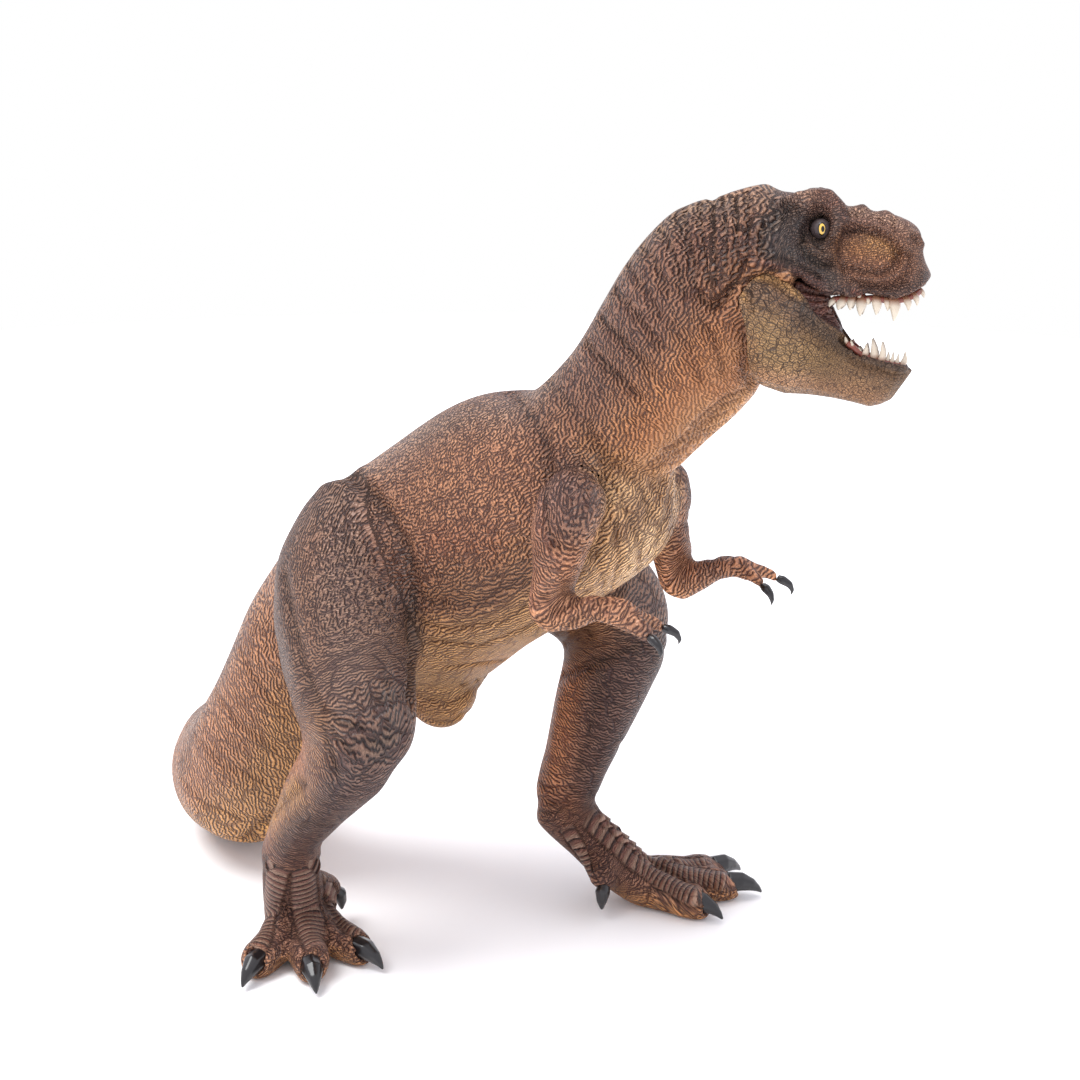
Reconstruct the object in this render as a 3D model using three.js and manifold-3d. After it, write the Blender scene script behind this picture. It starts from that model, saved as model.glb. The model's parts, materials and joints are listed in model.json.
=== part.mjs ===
// Toy dinosaur figure: a standing tyrannosaur in hand-painted plastic with a hinged lower jaw.
// Millimetres, +Z up, +X the way the hips point, +Y the animal's left. The jaw is drawn wide open.
import * as THREE from 'three';
import { mergeVertices } from 'three/addons/utils/BufferGeometryUtils.js';
import Module from 'manifold-3d';

const wasm = await Module();
wasm.setup();

// Driving sizes of the stance
const reach = 100; // hip line to muzzle, along the floor
const hipHeight = 80; // floor to hip joint
const trunkGirth = 30; // half the depth of the chest
const legGirth = 14; // half the depth of the thigh
const armGirth = 5; // half the depth of the upper arm

// Driving sizes of the head
const muzzleReach = 26; // jaw hinge to muzzle tip
const skullDepth = 18.4; // jaw hinge to crown
const cheekHalfWidth = 11.5;
const jawReach = 25; // jaw hinge to chin
const jawDepth = 13; // jaw hinge to the deepest point of the jaw
const jawHalfWidth = 12.4;
const lobeRadius = 5; // round rear end of the jaw, about the hinge
const headYaw = THREE.MathUtils.degToRad(28); // turned to the animal's left
const headPitch = THREE.MathUtils.degToRad(3);
const headRoll = THREE.MathUtils.degToRad(-9);
const gape = THREE.MathUtils.degToRad(30); // how far the jaw hangs open
const closeStroke = THREE.MathUtils.degToRad(18); // how far it closes again

// Driving sizes of the feet, hands, teeth and eyes
const toeReach = 26; // ball of the foot to claw tip
const toeGirth = 4.6; // half the width of a toe at its root
const clawReach = 8.5;
const clawGirth = 2.8;
const fingerReach = 5.5;
const fingerClawReach = 4.6;
const fingerGirth = 1.6;
const toothReach = 3.3; // longest tooth, gum to tip
const toothGirth = 0.62;
const gumHeight = 1.6;
const gumThickness = 0.9;
const eyeRadius = 1.7;

// Fits
const clearance = 0.3; // gap left between glued or touching pieces
const runningGap = 0.6; // gap round the moving jaw
const pinRadius = 1.1;
const pinSeat = 1.5; // how far the pin enters each jaw lobe
const legPegRadius = 5;
const armPegRadius = 2.4;
const neckPegRadius = 7;
const tailPegRadius = 8;
const headPegRadius = 5;
const anklePegRadius = 2;
const pegDepth = 8;
const smallPegDepth = 4;
const weld = 1e-4; // vertices nearer than this are one
const vast = 8 * reach; // side of the blocks that cut whole half spaces away

const xAxis = new THREE.Vector3(1, 0, 0);
const yAxis = new THREE.Vector3(0, 1, 0);
const zAxis = new THREE.Vector3(0, 0, 1);

// Paint of each kind of surface
const hide = new THREE.MeshStandardMaterial({ color: '#7a5843', roughness: 0.62 });
const neckHide = new THREE.MeshStandardMaterial({ color: '#7f5a42', roughness: 0.62 });
const faceHide = new THREE.MeshStandardMaterial({ color: '#5d473f', roughness: 0.58 });
const jawHide = new THREE.MeshStandardMaterial({ color: '#9a8458', roughness: 0.6 });
const footHide = new THREE.MeshStandardMaterial({ color: '#5f4536', roughness: 0.6 });
const claw = new THREE.MeshStandardMaterial({ color: '#17151a', roughness: 0.18 });
const tooth = new THREE.MeshStandardMaterial({ color: '#e6d9c2', roughness: 0.35 });
const mouthSkin = new THREE.MeshStandardMaterial({ color: '#4e272b', roughness: 0.4 });
const eyeGloss = new THREE.MeshStandardMaterial({ color: '#c9a232', roughness: 0.1 });
const steel = new THREE.MeshStandardMaterial({ color: '#8d8d90', roughness: 0.35, metalness: 1 });

// Solids and meshes
function solidOf(geometry) {
  const bare = geometry.clone();
  bare.deleteAttribute('normal');
  bare.deleteAttribute('uv');
  const merged = mergeVertices(bare, weld);
  return new wasm.Manifold(new wasm.Mesh({
    numProp: 3,
    vertProperties: Float32Array.from(merged.attributes.position.array),
    triVerts: Uint32Array.from(merged.index.array),
  }));
}

function geometryOf(solid) {
  const { vertProperties, triVerts } = solid.getMesh();
  const geometry = new THREE.BufferGeometry();
  geometry.setAttribute('position', new THREE.BufferAttribute(vertProperties, 3));
  geometry.setIndex(new THREE.BufferAttribute(triVerts, 1));
  return geometry;
}

function meshOf(name, solid, material) {
  const geometry = geometryOf(solid);
  geometry.computeVertexNormals();
  const mesh = new THREE.Mesh(geometry, material);
  mesh.name = name;
  return mesh;
}

const joined = (solids) => solids.reduce((all, one) => all.add(one));
const without = (solid, cutters) => cutters.reduce((left, cutter) => left.subtract(cutter), solid);

// The largest separate body of a solid, for a cut that leaves slivers behind it
function mainBody(solid) {
  return solid.decompose().reduce((best, one) => (one.volume() > best.volume() ? one : best));
}

// Places shared by the whole figure: floor plan in shares of the reach, height in shares of the hip's
const spot = (x, y, z) => new THREE.Vector3(x * reach, y * reach, z * hipHeight);

// A skin stretched over rounded cross-sections along a smooth line. A station holds its centre and
// its half sizes: sideways, towards the front vector, and away from it. Corner 2 is an ellipse and
// more is squarer, lean narrows the front side, and dome rounds the ends off.
function loftGeometry(stations, options = {}) {
  const { sides = 18, steps = 2, corner = 2, lean = 0, dome = 0, grow = 0, front = zAxis } = options;
  const centres = new THREE.CatmullRomCurve3(stations.map((s) => s.at), false, 'catmullrom', 0.5);
  const halves = new THREE.CatmullRomCurve3(stations.map((s) => s.half), false, 'catmullrom', 0.5);
  const count = (stations.length - 1) * steps;
  const slices = [];
  for (let i = 0; i <= count; i += 1) {
    const t = i / count;
    slices.push({
      at: centres.getPoint(t), along: centres.getTangent(t), half: halves.getPoint(t), scale: 1,
    });
  }
  const end = (slice, sign) => {
    const span = dome * Math.min(slice.half.x, (slice.half.y + slice.half.z) / 2) + grow;
    const turns = dome > 0 ? [Math.PI / 5, Math.PI / 2.7] : [];
    const rings = turns.map((turn) => ({
      ...slice,
      at: slice.at.clone().addScaledVector(slice.along, sign * span * Math.sin(turn)),
      scale: Math.cos(turn),
    }));
    const tip = slice.at.clone().addScaledVector(slice.along, sign * span);
    const rim = dome > 0 ? [] : [{ ...slice, at: tip.clone() }];
    return { rings: rings.concat(rim), tip };
  };
  const first = end(slices[0], -1);
  const last = end(slices[count], 1);
  const keptStart = dome > 0 || grow === 0 ? slices : slices.slice(1);
  const kept = dome > 0 || grow === 0 ? keptStart : keptStart.slice(0, -1);
  const skipRims = dome === 0 && grow === 0;
  const all = skipRims ? kept : [...first.rings.reverse(), ...kept, ...last.rings];
  const positions = [];
  for (const slice of all) {
    const up = front.clone().addScaledVector(slice.along, -front.dot(slice.along)).normalize();
    const side = up.clone().cross(slice.along).normalize();
    for (let j = 0; j < sides; j += 1) {
      const turn = (2 * Math.PI * j) / sides;
      const c = Math.cos(turn);
      const s = Math.sin(turn);
      const a = Math.sign(c) * Math.abs(c) ** (2 / corner);
      const b = Math.sign(s) * Math.abs(s) ** (2 / corner);
      const across = (slice.half.x + grow) * a * (1 - lean * Math.max(b, 0)) * slice.scale;
      const rise = ((b > 0 ? slice.half.y : slice.half.z) + grow) * b * slice.scale;
      const point = slice.at.clone().addScaledVector(side, across).addScaledVector(up, rise);
      positions.push(point.x, point.y, point.z);
    }
  }
  positions.push(first.tip.x, first.tip.y, first.tip.z, last.tip.x, last.tip.y, last.tip.z);
  const index = [];
  for (let i = 0; i + 1 < all.length; i += 1) {
    for (let j = 0; j < sides; j += 1) {
      const a = i * sides + j;
      const b = i * sides + ((j + 1) % sides);
      index.push(a, b, b + sides, a, b + sides, a + sides);
    }
  }
  const startTip = all.length * sides;
  const lastRing = (all.length - 1) * sides;
  for (let j = 0; j < sides; j += 1) {
    const next = (j + 1) % sides;
    index.push(startTip, next, j, startTip + 1, lastRing + j, lastRing + next);
  }
  const geometry = new THREE.BufferGeometry();
  geometry.setAttribute('position', new THREE.Float32BufferAttribute(positions, 3));
  geometry.setIndex(index);
  return geometry;
}

const loft = (stations, options) => solidOf(loftGeometry(stations, options));

// Stations from rows of place and half-size shares, the sizes in shares of one girth
function bodyStations(rows, girth) {
  return rows.map(([x, y, z, across, ahead, behind]) => ({
    at: spot(x, y, z),
    half: new THREE.Vector3(across, ahead, behind).multiplyScalar(girth),
  }));
}

function ellipsoid(centre, radii, grow = 0, turn = new THREE.Euler()) {
  const geometry = new THREE.SphereGeometry(1, 10, 6);
  geometry.scale(radii.x + grow, radii.y + grow, radii.z + grow);
  geometry.applyMatrix4(new THREE.Matrix4().makeRotationFromEuler(turn));
  geometry.translate(centre.x, centre.y, centre.z);
  return solidOf(geometry);
}

// A round bar between two points
function bar(from, to, radius) {
  const line = to.clone().sub(from);
  const geometry = new THREE.CylinderGeometry(radius, radius, line.length(), 12);
  geometry.applyQuaternion(new THREE.Quaternion().setFromUnitVectors(yAxis, line.clone().normalize()));
  const middle = from.clone().add(to).multiplyScalar(0.5);
  geometry.translate(middle.x, middle.y, middle.z);
  return solidOf(geometry);
}

// A block that fills everything past a plane, on the side its normal points to
function beyond(point, normal, offset = 0) {
  const geometry = new THREE.BoxGeometry(vast, vast, vast);
  geometry.applyQuaternion(new THREE.Quaternion().setFromUnitVectors(zAxis, normal.clone().normalize()));
  const centre = point.clone().addScaledVector(normal.clone().normalize(), vast / 2 + offset);
  geometry.translate(centre.x, centre.y, centre.z);
  return solidOf(geometry);
}

const belowFloor = beyond(new THREE.Vector3(), zAxis.clone().negate());

// Head and jaw frames: the head turns about the jaw hinge, and the jaw hangs from it by the gape
const hingePlace = spot(0.66, 0.02, 1.718);
const headGroup = new THREE.Group();
headGroup.position.copy(hingePlace);
headGroup.rotation.set(headRoll, -headPitch, headYaw, 'ZYX');
headGroup.updateMatrix();
const headFrame = headGroup.matrix.clone();
const jawGroup = new THREE.Group();
jawGroup.rotation.set(0, gape, 0);
jawGroup.updateMatrix();
const jawTurned = (angle) => new THREE.Matrix4().makeRotationY(angle);

// Trunk and tail: one long body from the tail tip to the chest, as shares of the trunk's girth
const bodyShares = [
  [-1.37, 0.59, 0.035, 0.03, 0.03, 0.04],
  [-1.28, 0.49, 0.055, 0.11, 0.12, 0.15],
  [-1.15, 0.35, 0.085, 0.21, 0.22, 0.23],
  [-0.985, 0.205, 0.125, 0.33, 0.34, 0.34],
  [-0.83, 0.06, 0.165, 0.44, 0.45, 0.45],
  [-0.7, -0.045, 0.2, 0.51, 0.5, 0.53],
  [-0.6, -0.1, 0.255, 0.55, 0.52, 0.58],
  [-0.525, -0.11, 0.36, 0.57, 0.53, 0.59],
  [-0.455, -0.09, 0.505, 0.59, 0.55, 0.61],
  [-0.395, -0.06, 0.66, 0.63, 0.6, 0.66],
  [-0.32, -0.02, 0.785, 0.67, 0.66, 0.72],
  [-0.23, 0, 0.875, 0.72, 0.74, 0.78],
  [-0.12, 0, 0.95, 0.75, 0.82, 0.86],
  [0, 0, 1.02, 0.75, 0.9, 0.74],
  [0.13, 0, 1.09, 0.73, 0.95, 0.64],
  [0.25, 0, 1.15, 0.66, 0.84, 0.52],
  [0.345, 0, 1.185, 0.54, 0.54, 0.42],
  [0.41, 0, 1.2, 0.36, 0.34, 0.28],
  [0.45, 0, 1.205, 0.12, 0.12, 0.1],
];
const bodyStyle = { sides: 20, steps: 1, corner: 2.15 };
const keelShares = { at: [-0.11, 0, 0.65], half: [0.33, 0.27, 0.46] };
const breastShares = { at: [0.32, -0.01, 1.15], half: [0.3, 0.44, 0.4] };

// Neck: from inside the chest up to the back of the skull
const neckShares = [
  [0.15, 0, 1.2, 0.54, 0.5, 0.54],
  [0.3, 0, 1.37, 0.48, 0.46, 0.5],
  [0.375, 0.005, 1.475, 0.44, 0.45, 0.52],
  [0.43, 0.01, 1.57, 0.42, 0.48, 0.58],
  [0.485, 0.012, 1.655, 0.41, 0.52, 0.58],
  [0.55, 0.014, 1.735, 0.4, 0.56, 0.52],
  [0.63, 0.02, 1.765, 0.38, 0.54, 0.47],
  [0.71, 0.04, 1.74, 0.35, 0.42, 0.42],
];
const neckStyle = { sides: 18, steps: 1, corner: 2.1 };

const neckSeam = { point: spot(0.3, 0, 1.375), normal: new THREE.Vector3(0.49, 0, 0.87) };
const tailSeam = { point: spot(-0.46, -0.025, 0.7), normal: new THREE.Vector3(-0.75, 0, -0.66) };

function shareBall({ at, half }, girth, grow) {
  return ellipsoid(spot(...at), new THREE.Vector3(...half).multiplyScalar(girth), grow);
}

function trunkWhole(grow = 0) {
  return joined([
    loft(bodyStations(bodyShares, trunkGirth), { ...bodyStyle, grow }),
    shareBall(keelShares, trunkGirth, grow),
    shareBall(breastShares, trunkGirth, grow),
  ]);
}
const neckWhole = (grow = 0) => loft(bodyStations(neckShares, trunkGirth), { ...neckStyle, grow });

// Legs: thigh and shank, then a foot with three toes and a small inner toe
const legs = [
  {
    side: 'right',
    thighShares: [
      [-0.2, -0.15, 1.1, 0.66, 0.76, 0.82],
      [-0.18, -0.2, 1, 0.88, 1, 1.05],
      [-0.12, -0.26, 0.87, 0.94, 1, 1.1],
      [-0.045, -0.315, 0.755, 0.88, 0.88, 0.98],
      [0.02, -0.35, 0.68, 0.76, 0.7, 0.76],
    ],
    shankShares: [
      [0.035, -0.358, 0.69, 0.62, 0.56, 0.6],
      [-0.025, -0.36, 0.58, 0.64, 0.58, 0.72],
      [-0.11, -0.358, 0.455, 0.52, 0.46, 0.52],
      [-0.175, -0.352, 0.35, 0.41, 0.37, 0.41],
      [-0.205, -0.347, 0.28, 0.4, 0.37, 0.4],
    ],
    metatarsusShares: [
      [-0.205, -0.347, 0.29, 0.42, 0.37, 0.4],
      [-0.22, -0.335, 0.19, 0.42, 0.36, 0.36],
      [-0.235, -0.31, 0.1, 0.5, 0.4, 0.38],
      [-0.24, -0.295, 0.05, 0.52, 0.38, 0.3],
    ],
    pegShares: [[-0.16, -0.17, 0.98], [-0.16, -0.3, 0.95]],
    ballShares: [-0.235, -0.305],
    toes: [
      { name: 'inner', heading: THREE.MathUtils.degToRad(-1), reachShare: 0.98 },
      { name: 'middle', heading: THREE.MathUtils.degToRad(-37), reachShare: 1.04 },
      { name: 'outer', heading: THREE.MathUtils.degToRad(-72), reachShare: 0.98 },
    ],
  },
  {
    side: 'left',
    thighShares: [
      [-0.16, 0.15, 1.1, 0.66, 0.76, 0.82],
      [-0.13, 0.2, 1, 0.88, 1, 1.15],
      [-0.05, 0.27, 0.9, 0.94, 0.98, 1.32],
      [0.04, 0.32, 0.83, 0.88, 0.86, 1.22],
      [0.1, 0.35, 0.77, 0.76, 0.68, 0.82],
    ],
    shankShares: [
      [0.11, 0.355, 0.78, 0.66, 0.62, 0.66],
      [0.1, 0.335, 0.66, 0.72, 0.7, 0.82],
      [0.09, 0.285, 0.52, 0.62, 0.58, 0.72],
      [0.075, 0.23, 0.37, 0.48, 0.46, 0.54],
      [0.065, 0.19, 0.27, 0.45, 0.44, 0.48],
    ],
    metatarsusShares: [
      [0.06, 0.185, 0.265, 0.45, 0.44, 0.48],
      [0.12, 0.21, 0.18, 0.42, 0.38, 0.38],
      [0.18, 0.24, 0.1, 0.5, 0.4, 0.38],
      [0.22, 0.26, 0.05, 0.52, 0.38, 0.3],
    ],
    pegShares: [[-0.12, 0.17, 0.98], [-0.12, 0.3, 0.95]],
    ballShares: [0.22, 0.26],
    toes: [
      { name: 'inner', heading: THREE.MathUtils.degToRad(8), reachShare: 0.82 },
      { name: 'middle', heading: THREE.MathUtils.degToRad(43), reachShare: 1.08 },
      { name: 'outer', heading: THREE.MathUtils.degToRad(67), reachShare: 1.06 },
    ],
  },
];

// Shares of the toe's reach and girth: distance, height, half width, half height above and below
const toeShares = [
  [0, 1.05, 1.05, 1, 1.12],
  [0.2, 1.05, 1, 0.92, 1.12],
  [0.34, 0.93, 0.9, 0.83, 1],
  [0.45, 0.82, 0.82, 0.73, 0.89],
  [0.56, 0.81, 0.86, 0.73, 0.89],
  [0.66, 0.72, 0.76, 0.64, 0.78],
  [0.74, 0.7, 0.62, 0.54, 0.7],
];
// Shares of the claw's reach and girth, from its root to its tip
const clawShares = [
  [-0.12, 0.1, 0.6, 0.6, 0.5],
  [0, 0.16, 0.85, 0.9, 0.75],
  [0.35, 0.1, 0.76, 0.84, 0.66],
  [0.68, -0.22, 0.5, 0.52, 0.46],
  [0.88, -0.6, 0.26, 0.26, 0.24],
  [1, -0.95, 0.07, 0.08, 0.08],
];

// A row of stations along a level heading, from shares of a reach and a girth
function alongStations(root, heading, length, girth, rows) {
  const ahead = new THREE.Vector3(Math.cos(heading), Math.sin(heading), 0);
  return rows.map(([far, high, across, above, below]) => ({
    at: root.clone().addScaledVector(ahead, far * length).addScaledVector(zAxis, high * girth),
    half: new THREE.Vector3(across, above, below).multiplyScalar(girth),
  }));
}

const ballPlace = (leg) => spot(...leg.ballShares, 0);

function toeLoft(leg, toe, grow = 0) {
  const rows = alongStations(ballPlace(leg), toe.heading, toeReach * toe.reachShare, toeGirth, toeShares);
  return loft(rows, { sides: 8, steps: 1, corner: 2.3, dome: 0.6, grow });
}

// The claw starts where the toe's last knuckle ends and curves down to the floor
function toeClaw(leg, toe, grow = 0) {
  const { heading } = toe;
  const ahead = new THREE.Vector3(Math.cos(heading), Math.sin(heading), 0);
  const root = ballPlace(leg).addScaledVector(ahead, toeReach * toe.reachShare - clawReach)
    .addScaledVector(zAxis, clawGirth + clearance);
  return loft(alongStations(root, heading, clawReach, clawGirth, clawShares), { sides: 8, steps: 1, grow });
}

const halluxTurnShare = 0.64; // of a half turn, from the middle toe inwards
// The small inner toe high on the foot, with its claw hanging down
function halluxLine(leg) {
  const [x, y, z] = leg.metatarsusShares[2];
  const [inner, middle] = leg.toes;
  const turn = middle.heading + halluxTurnShare * Math.sign(inner.heading - middle.heading) * Math.PI;
  const away = new THREE.Vector3(Math.cos(turn), Math.sin(turn), 0);
  return { root: spot(x, y, z), away };
}
const halluxShares = [
  [0.6, 0.75, 0.55], [1.2, 0.55, 0.62], [1.75, 0.2, 0.52], [2.05, -0.15, 0.4],
];
const halluxClawShares = [
  [2, -0.05, 0.28], [2.25, -0.35, 0.36], [2.4, -0.85, 0.24], [2.42, -1.3, 0.06],
];
function halluxStations(leg, rows) {
  const { root, away } = halluxLine(leg);
  return rows.map(([far, high, half]) => ({
    at: root.clone().addScaledVector(away, far * toeGirth).addScaledVector(zAxis, high * toeGirth),
    half: new THREE.Vector3(half, half, half).multiplyScalar(toeGirth),
  }));
}
const hallux = (leg, grow = 0) => loft(
  halluxStations(leg, halluxShares), { sides: 8, steps: 1, dome: 0.6, grow },
);
const halluxClaw = (leg, grow = 0) => loft(
  halluxStations(leg, halluxClawShares), { sides: 8, steps: 1, grow },
);

const legFront = (leg) => new THREE.Vector3(1, 0, 0.15).normalize();
function thighAndShank(leg, grow = 0) {
  const front = legFront(leg);
  return joined([
    loft(bodyStations(leg.thighShares, legGirth), { sides: 16, steps: 1, dome: 0.8, front, grow }),
    loft(bodyStations(leg.shankShares, legGirth), { sides: 14, steps: 1, dome: 0.5, front, grow }),
  ]);
}

function footWhole(leg, grow = 0) {
  const { heading } = leg.toes[1];
  const front = new THREE.Vector3(Math.cos(heading), Math.sin(heading), 0.4).normalize();
  const metatarsus = loft(
    bodyStations(leg.metatarsusShares, legGirth), { sides: 12, steps: 1, dome: 0.5, front, grow },
  );
  return joined([metatarsus, hallux(leg, grow), ...leg.toes.map((toe) => toeLoft(leg, toe, grow))]);
}

function anklePeg(leg, grow = 0) {
  const low = spot(...leg.metatarsusShares[1].slice(0, 3));
  const ankle = spot(...leg.shankShares[4].slice(0, 3));
  const up = spot(...leg.shankShares[3].slice(0, 3)).sub(ankle).normalize();
  return bar(low, ankle.clone().addScaledVector(up, pegDepth + grow), anklePegRadius + grow);
}

const legPeg = (leg, grow = 0) => {
  const [inside, outside] = leg.pegShares.map((place) => spot(...place));
  const inward = inside.clone().sub(outside).normalize();
  return bar(outside, inside.clone().addScaledVector(inward, grow), legPegRadius + grow);
};

// Arms: upper arm, forearm and a two-fingered hand
const arms = [
  {
    side: 'right',
    armShares: [
      [0.37, -0.165, 1.27, 1.15, 1.2, 1.2],
      [0.37, -0.195, 1.2, 1.05, 1.05, 1.15],
      [0.36, -0.205, 1.1, 0.78, 0.75, 0.8],
      [0.345, -0.21, 1.02, 0.68, 0.66, 0.72],
    ],
    forearmShares: [
      [0.345, -0.21, 1.01, 0.62, 0.66, 0.66],
      [0.4, -0.205, 1.025, 0.56, 0.56, 0.6],
      [0.45, -0.2, 1.05, 0.44, 0.44, 0.46],
      [0.5, -0.19, 1.045, 0.46, 0.42, 0.42],
      [0.52, -0.185, 1.03, 0.44, 0.36, 0.36],
    ],
    handHeading: THREE.MathUtils.degToRad(8),
    pegShares: [[0.35, -0.1, 1.23], [0.37, -0.19, 1.23]],
  },
  {
    side: 'left',
    armShares: [
      [0.325, 0.145, 1.22, 1, 1.15, 1.15],
      [0.325, 0.17, 1.14, 0.9, 1, 1.05],
      [0.335, 0.19, 1.04, 0.74, 0.75, 0.8],
      [0.345, 0.2, 0.955, 0.66, 0.66, 0.72],
    ],
    forearmShares: [
      [0.35, 0.2, 0.95, 0.62, 0.66, 0.66],
      [0.39, 0.2, 0.98, 0.56, 0.56, 0.6],
      [0.43, 0.205, 1.01, 0.44, 0.44, 0.46],
      [0.48, 0.205, 1.03, 0.46, 0.42, 0.42],
      [0.51, 0.205, 1.02, 0.44, 0.36, 0.36],
    ],
    handHeading: THREE.MathUtils.degToRad(0),
    pegShares: [[0.31, 0.09, 1.18], [0.325, 0.17, 1.18]],
  },
];
const fingers = [
  { name: 'inner', spread: THREE.MathUtils.degToRad(24), offset: 0.7 },
  { name: 'outer', spread: THREE.MathUtils.degToRad(-18), offset: -0.7 },
];
const fingerShares = [
  [-0.3, 0, 0.75, 0.8, 0.8],
  [0.3, 0.05, 0.8, 0.8, 0.8],
  [0.62, -0.3, 0.66, 0.66, 0.66],
  [0.9, -0.85, 0.62, 0.66, 0.62],
];
const fingerClawShares = [
  [-0.1, 0.2, 0.45, 0.45, 0.45],
  [0.15, -0.1, 0.6, 0.62, 0.6],
  [0.5, -0.7, 0.46, 0.46, 0.46],
  [0.66, -1.5, 0.28, 0.28, 0.28],
  [0.62, -2.2, 0.07, 0.07, 0.07],
];

const armWhole = (arm, grow = 0) => joined([
  loft(bodyStations(arm.armShares, armGirth), { sides: 12, steps: 1, dome: 0.9, front: xAxis, grow }),
  loft(bodyStations(arm.forearmShares, armGirth), { sides: 10, steps: 1, dome: 0.6, grow }),
]);

function fingerRoot(arm, finger) {
  const across = new THREE.Vector3(-Math.sin(arm.handHeading), Math.cos(arm.handHeading), 0);
  return spot(...arm.forearmShares[4].slice(0, 3)).addScaledVector(across, finger.offset * fingerGirth);
}
function fingerLoft(arm, finger, grow = 0) {
  const rows = alongStations(
    fingerRoot(arm, finger), arm.handHeading + finger.spread, fingerReach, fingerGirth, fingerShares);
  return loft(rows, { sides: 6, steps: 1, dome: 0.6, grow });
}
function fingerClaw(arm, finger, grow = 0) {
  const heading = arm.handHeading + finger.spread;
  const [far, high] = fingerShares[3];
  const ahead = new THREE.Vector3(Math.cos(heading), Math.sin(heading), 0);
  const root = fingerRoot(arm, finger).addScaledVector(ahead, far * fingerReach)
    .addScaledVector(zAxis, high * fingerGirth);
  const rows = alongStations(root, heading, fingerClawReach, fingerGirth, fingerClawShares);
  return loft(rows, { sides: 6, steps: 1, front: new THREE.Vector3(1, 0, 1).normalize(), grow });
}
const armPeg = (arm, grow = 0) => {
  const [inside, outside] = arm.pegShares.map((place) => spot(...place));
  const inward = inside.clone().sub(outside).normalize();
  return bar(outside, inside.clone().addScaledVector(inward, grow), armPegRadius + grow);
};

// Skull, in the head's own frame: distance, top, bottom and half width
const skullShares = [
  [-0.4, 0.98, -0.1, 0.86],
  [-0.3, 1.01, -0.15, 0.94],
  [-0.15, 1.02, -0.2, 0.98],
  [0, 1.02, -0.3, 0.96],
  [0.18, 0.97, -0.35, 0.9],
  [0.3, 0.93, -0.35, 0.83],
  [0.39, 0.87, -0.35, 0.77],
  [0.48, 0.83, -0.35, 0.73],
  [0.63, 0.81, -0.35, 0.7],
  [0.74, 0.77, -0.34, 0.67],
  [0.85, 0.7, -0.3, 0.6],
  [0.93, 0.61, -0.22, 0.5],
  [0.98, 0.48, -0.08, 0.34],
  [1, 0.34, 0.12, 0.1],
];
// The lower edge of the cheek and upper lip
const lipShares = [
  [-0.6, -0.3], [-0.44, -0.05], [-0.3, 0.16], [-0.15, 0.25], [0, 0.3], [0.1, 0.3], [0.19, 0.25],
  [0.31, 0.13], [0.4, 0.11], [0.5, 0.11], [0.62, 0.065], [0.74, 0.045], [0.84, 0.07], [0.92, 0.12],
  [0.98, 0.19], [1.03, 0.3], [1.2, 0.5],
];

function skullStations() {
  return skullShares.map(([x, top, bottom, half]) => ({
    at: new THREE.Vector3(x * muzzleReach, 0, ((top + bottom) / 2) * skullDepth),
    half: new THREE.Vector3(
      half * cheekHalfWidth, ((top - bottom) / 2) * skullDepth, ((top - bottom) / 2) * skullDepth,
    ),
  }));
}

// A side outline drawn in X and Z, pulled across the whole head
function acrossHead(points, halfWidth) {
  const shape = new THREE.Shape(points);
  const geometry = new THREE.ExtrudeGeometry(shape, { depth: 2 * halfWidth, bevelEnabled: false });
  geometry.applyMatrix4(new THREE.Matrix4().makeRotationX(Math.PI / 2));
  geometry.translate(0, halfWidth, 0);
  return geometry;
}

function smoothLine(points, divisions) {
  return new THREE.SplineCurve(points).getPoints(divisions);
}

// Everything under the cheek and the upper lip, raised or lowered by an offset
function underLip(offset = 0) {
  const line = smoothLine(
    lipShares.map(([x, z]) => new THREE.Vector2(x * muzzleReach, z * skullDepth - offset)), 36);
  const floor = -3 * skullDepth;
  const corners = [new THREE.Vector2(line.at(-1).x, floor), new THREE.Vector2(line[0].x, floor)];
  return acrossHead([...line, ...corners], 2 * cheekHalfWidth);
}

const mirrored = (sides) => sides.flatMap((one) => [one, { ...one, flip: -1 }]);
const browShares = [
  { at: [0.29, 0.4, 0.92], half: [0.13, 0.17, 0.11] },
  { at: [0.37, 0.42, 0.85], half: [0.08, 0.15, 0.08] },
  { at: [0.18, 0.52, 0.86], half: [0.1, 0.15, 0.11] },
  { at: [0.42, 0.56, 0.58], half: [0.05, 0.1, 0.22] },
];
const panelShares = { at: [0.67, 0.94, 0.42], half: [0.28, 0.34, 0.26] };
const eyeShares = [0.3, 0.56, 0.66];
const socketShares = { at: [0.31, 0.82, 0.65], half: [0.09, 0.25, 0.15] };

function headBall({ at, half, flip = 1 }, grow = 0) {
  return ellipsoid(
    new THREE.Vector3(at[0] * muzzleReach, flip * at[1] * cheekHalfWidth, at[2] * skullDepth),
    new THREE.Vector3(half[0] * muzzleReach, half[1] * cheekHalfWidth, half[2] * skullDepth), grow);
}

const skullLoft = (grow = 0) => loftGeometry(
  skullStations(), { sides: 22, steps: 1, corner: 2.4, lean: 0.28, grow });
// Hollow of the palate between the tooth rows
const palateShares = [
  [0.3, 0.1, 0.05, 0.2], [0.4, 0.18, 0.2, 0.44], [0.55, 0.16, 0.2, 0.44], [0.7, 0.12, 0.2, 0.4],
  [0.82, 0.12, 0.2, 0.3], [0.9, 0.14, 0.1, 0.12],
];
const palate = loft(palateShares.map(([x, z, rise, half]) => ({
  at: new THREE.Vector3(x * muzzleReach, 0, z * skullDepth - gumHeight),
  half: new THREE.Vector3(half * cheekHalfWidth, rise * skullDepth, rise * skullDepth),
})), { sides: 12, steps: 1, corner: 2.4 });

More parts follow.
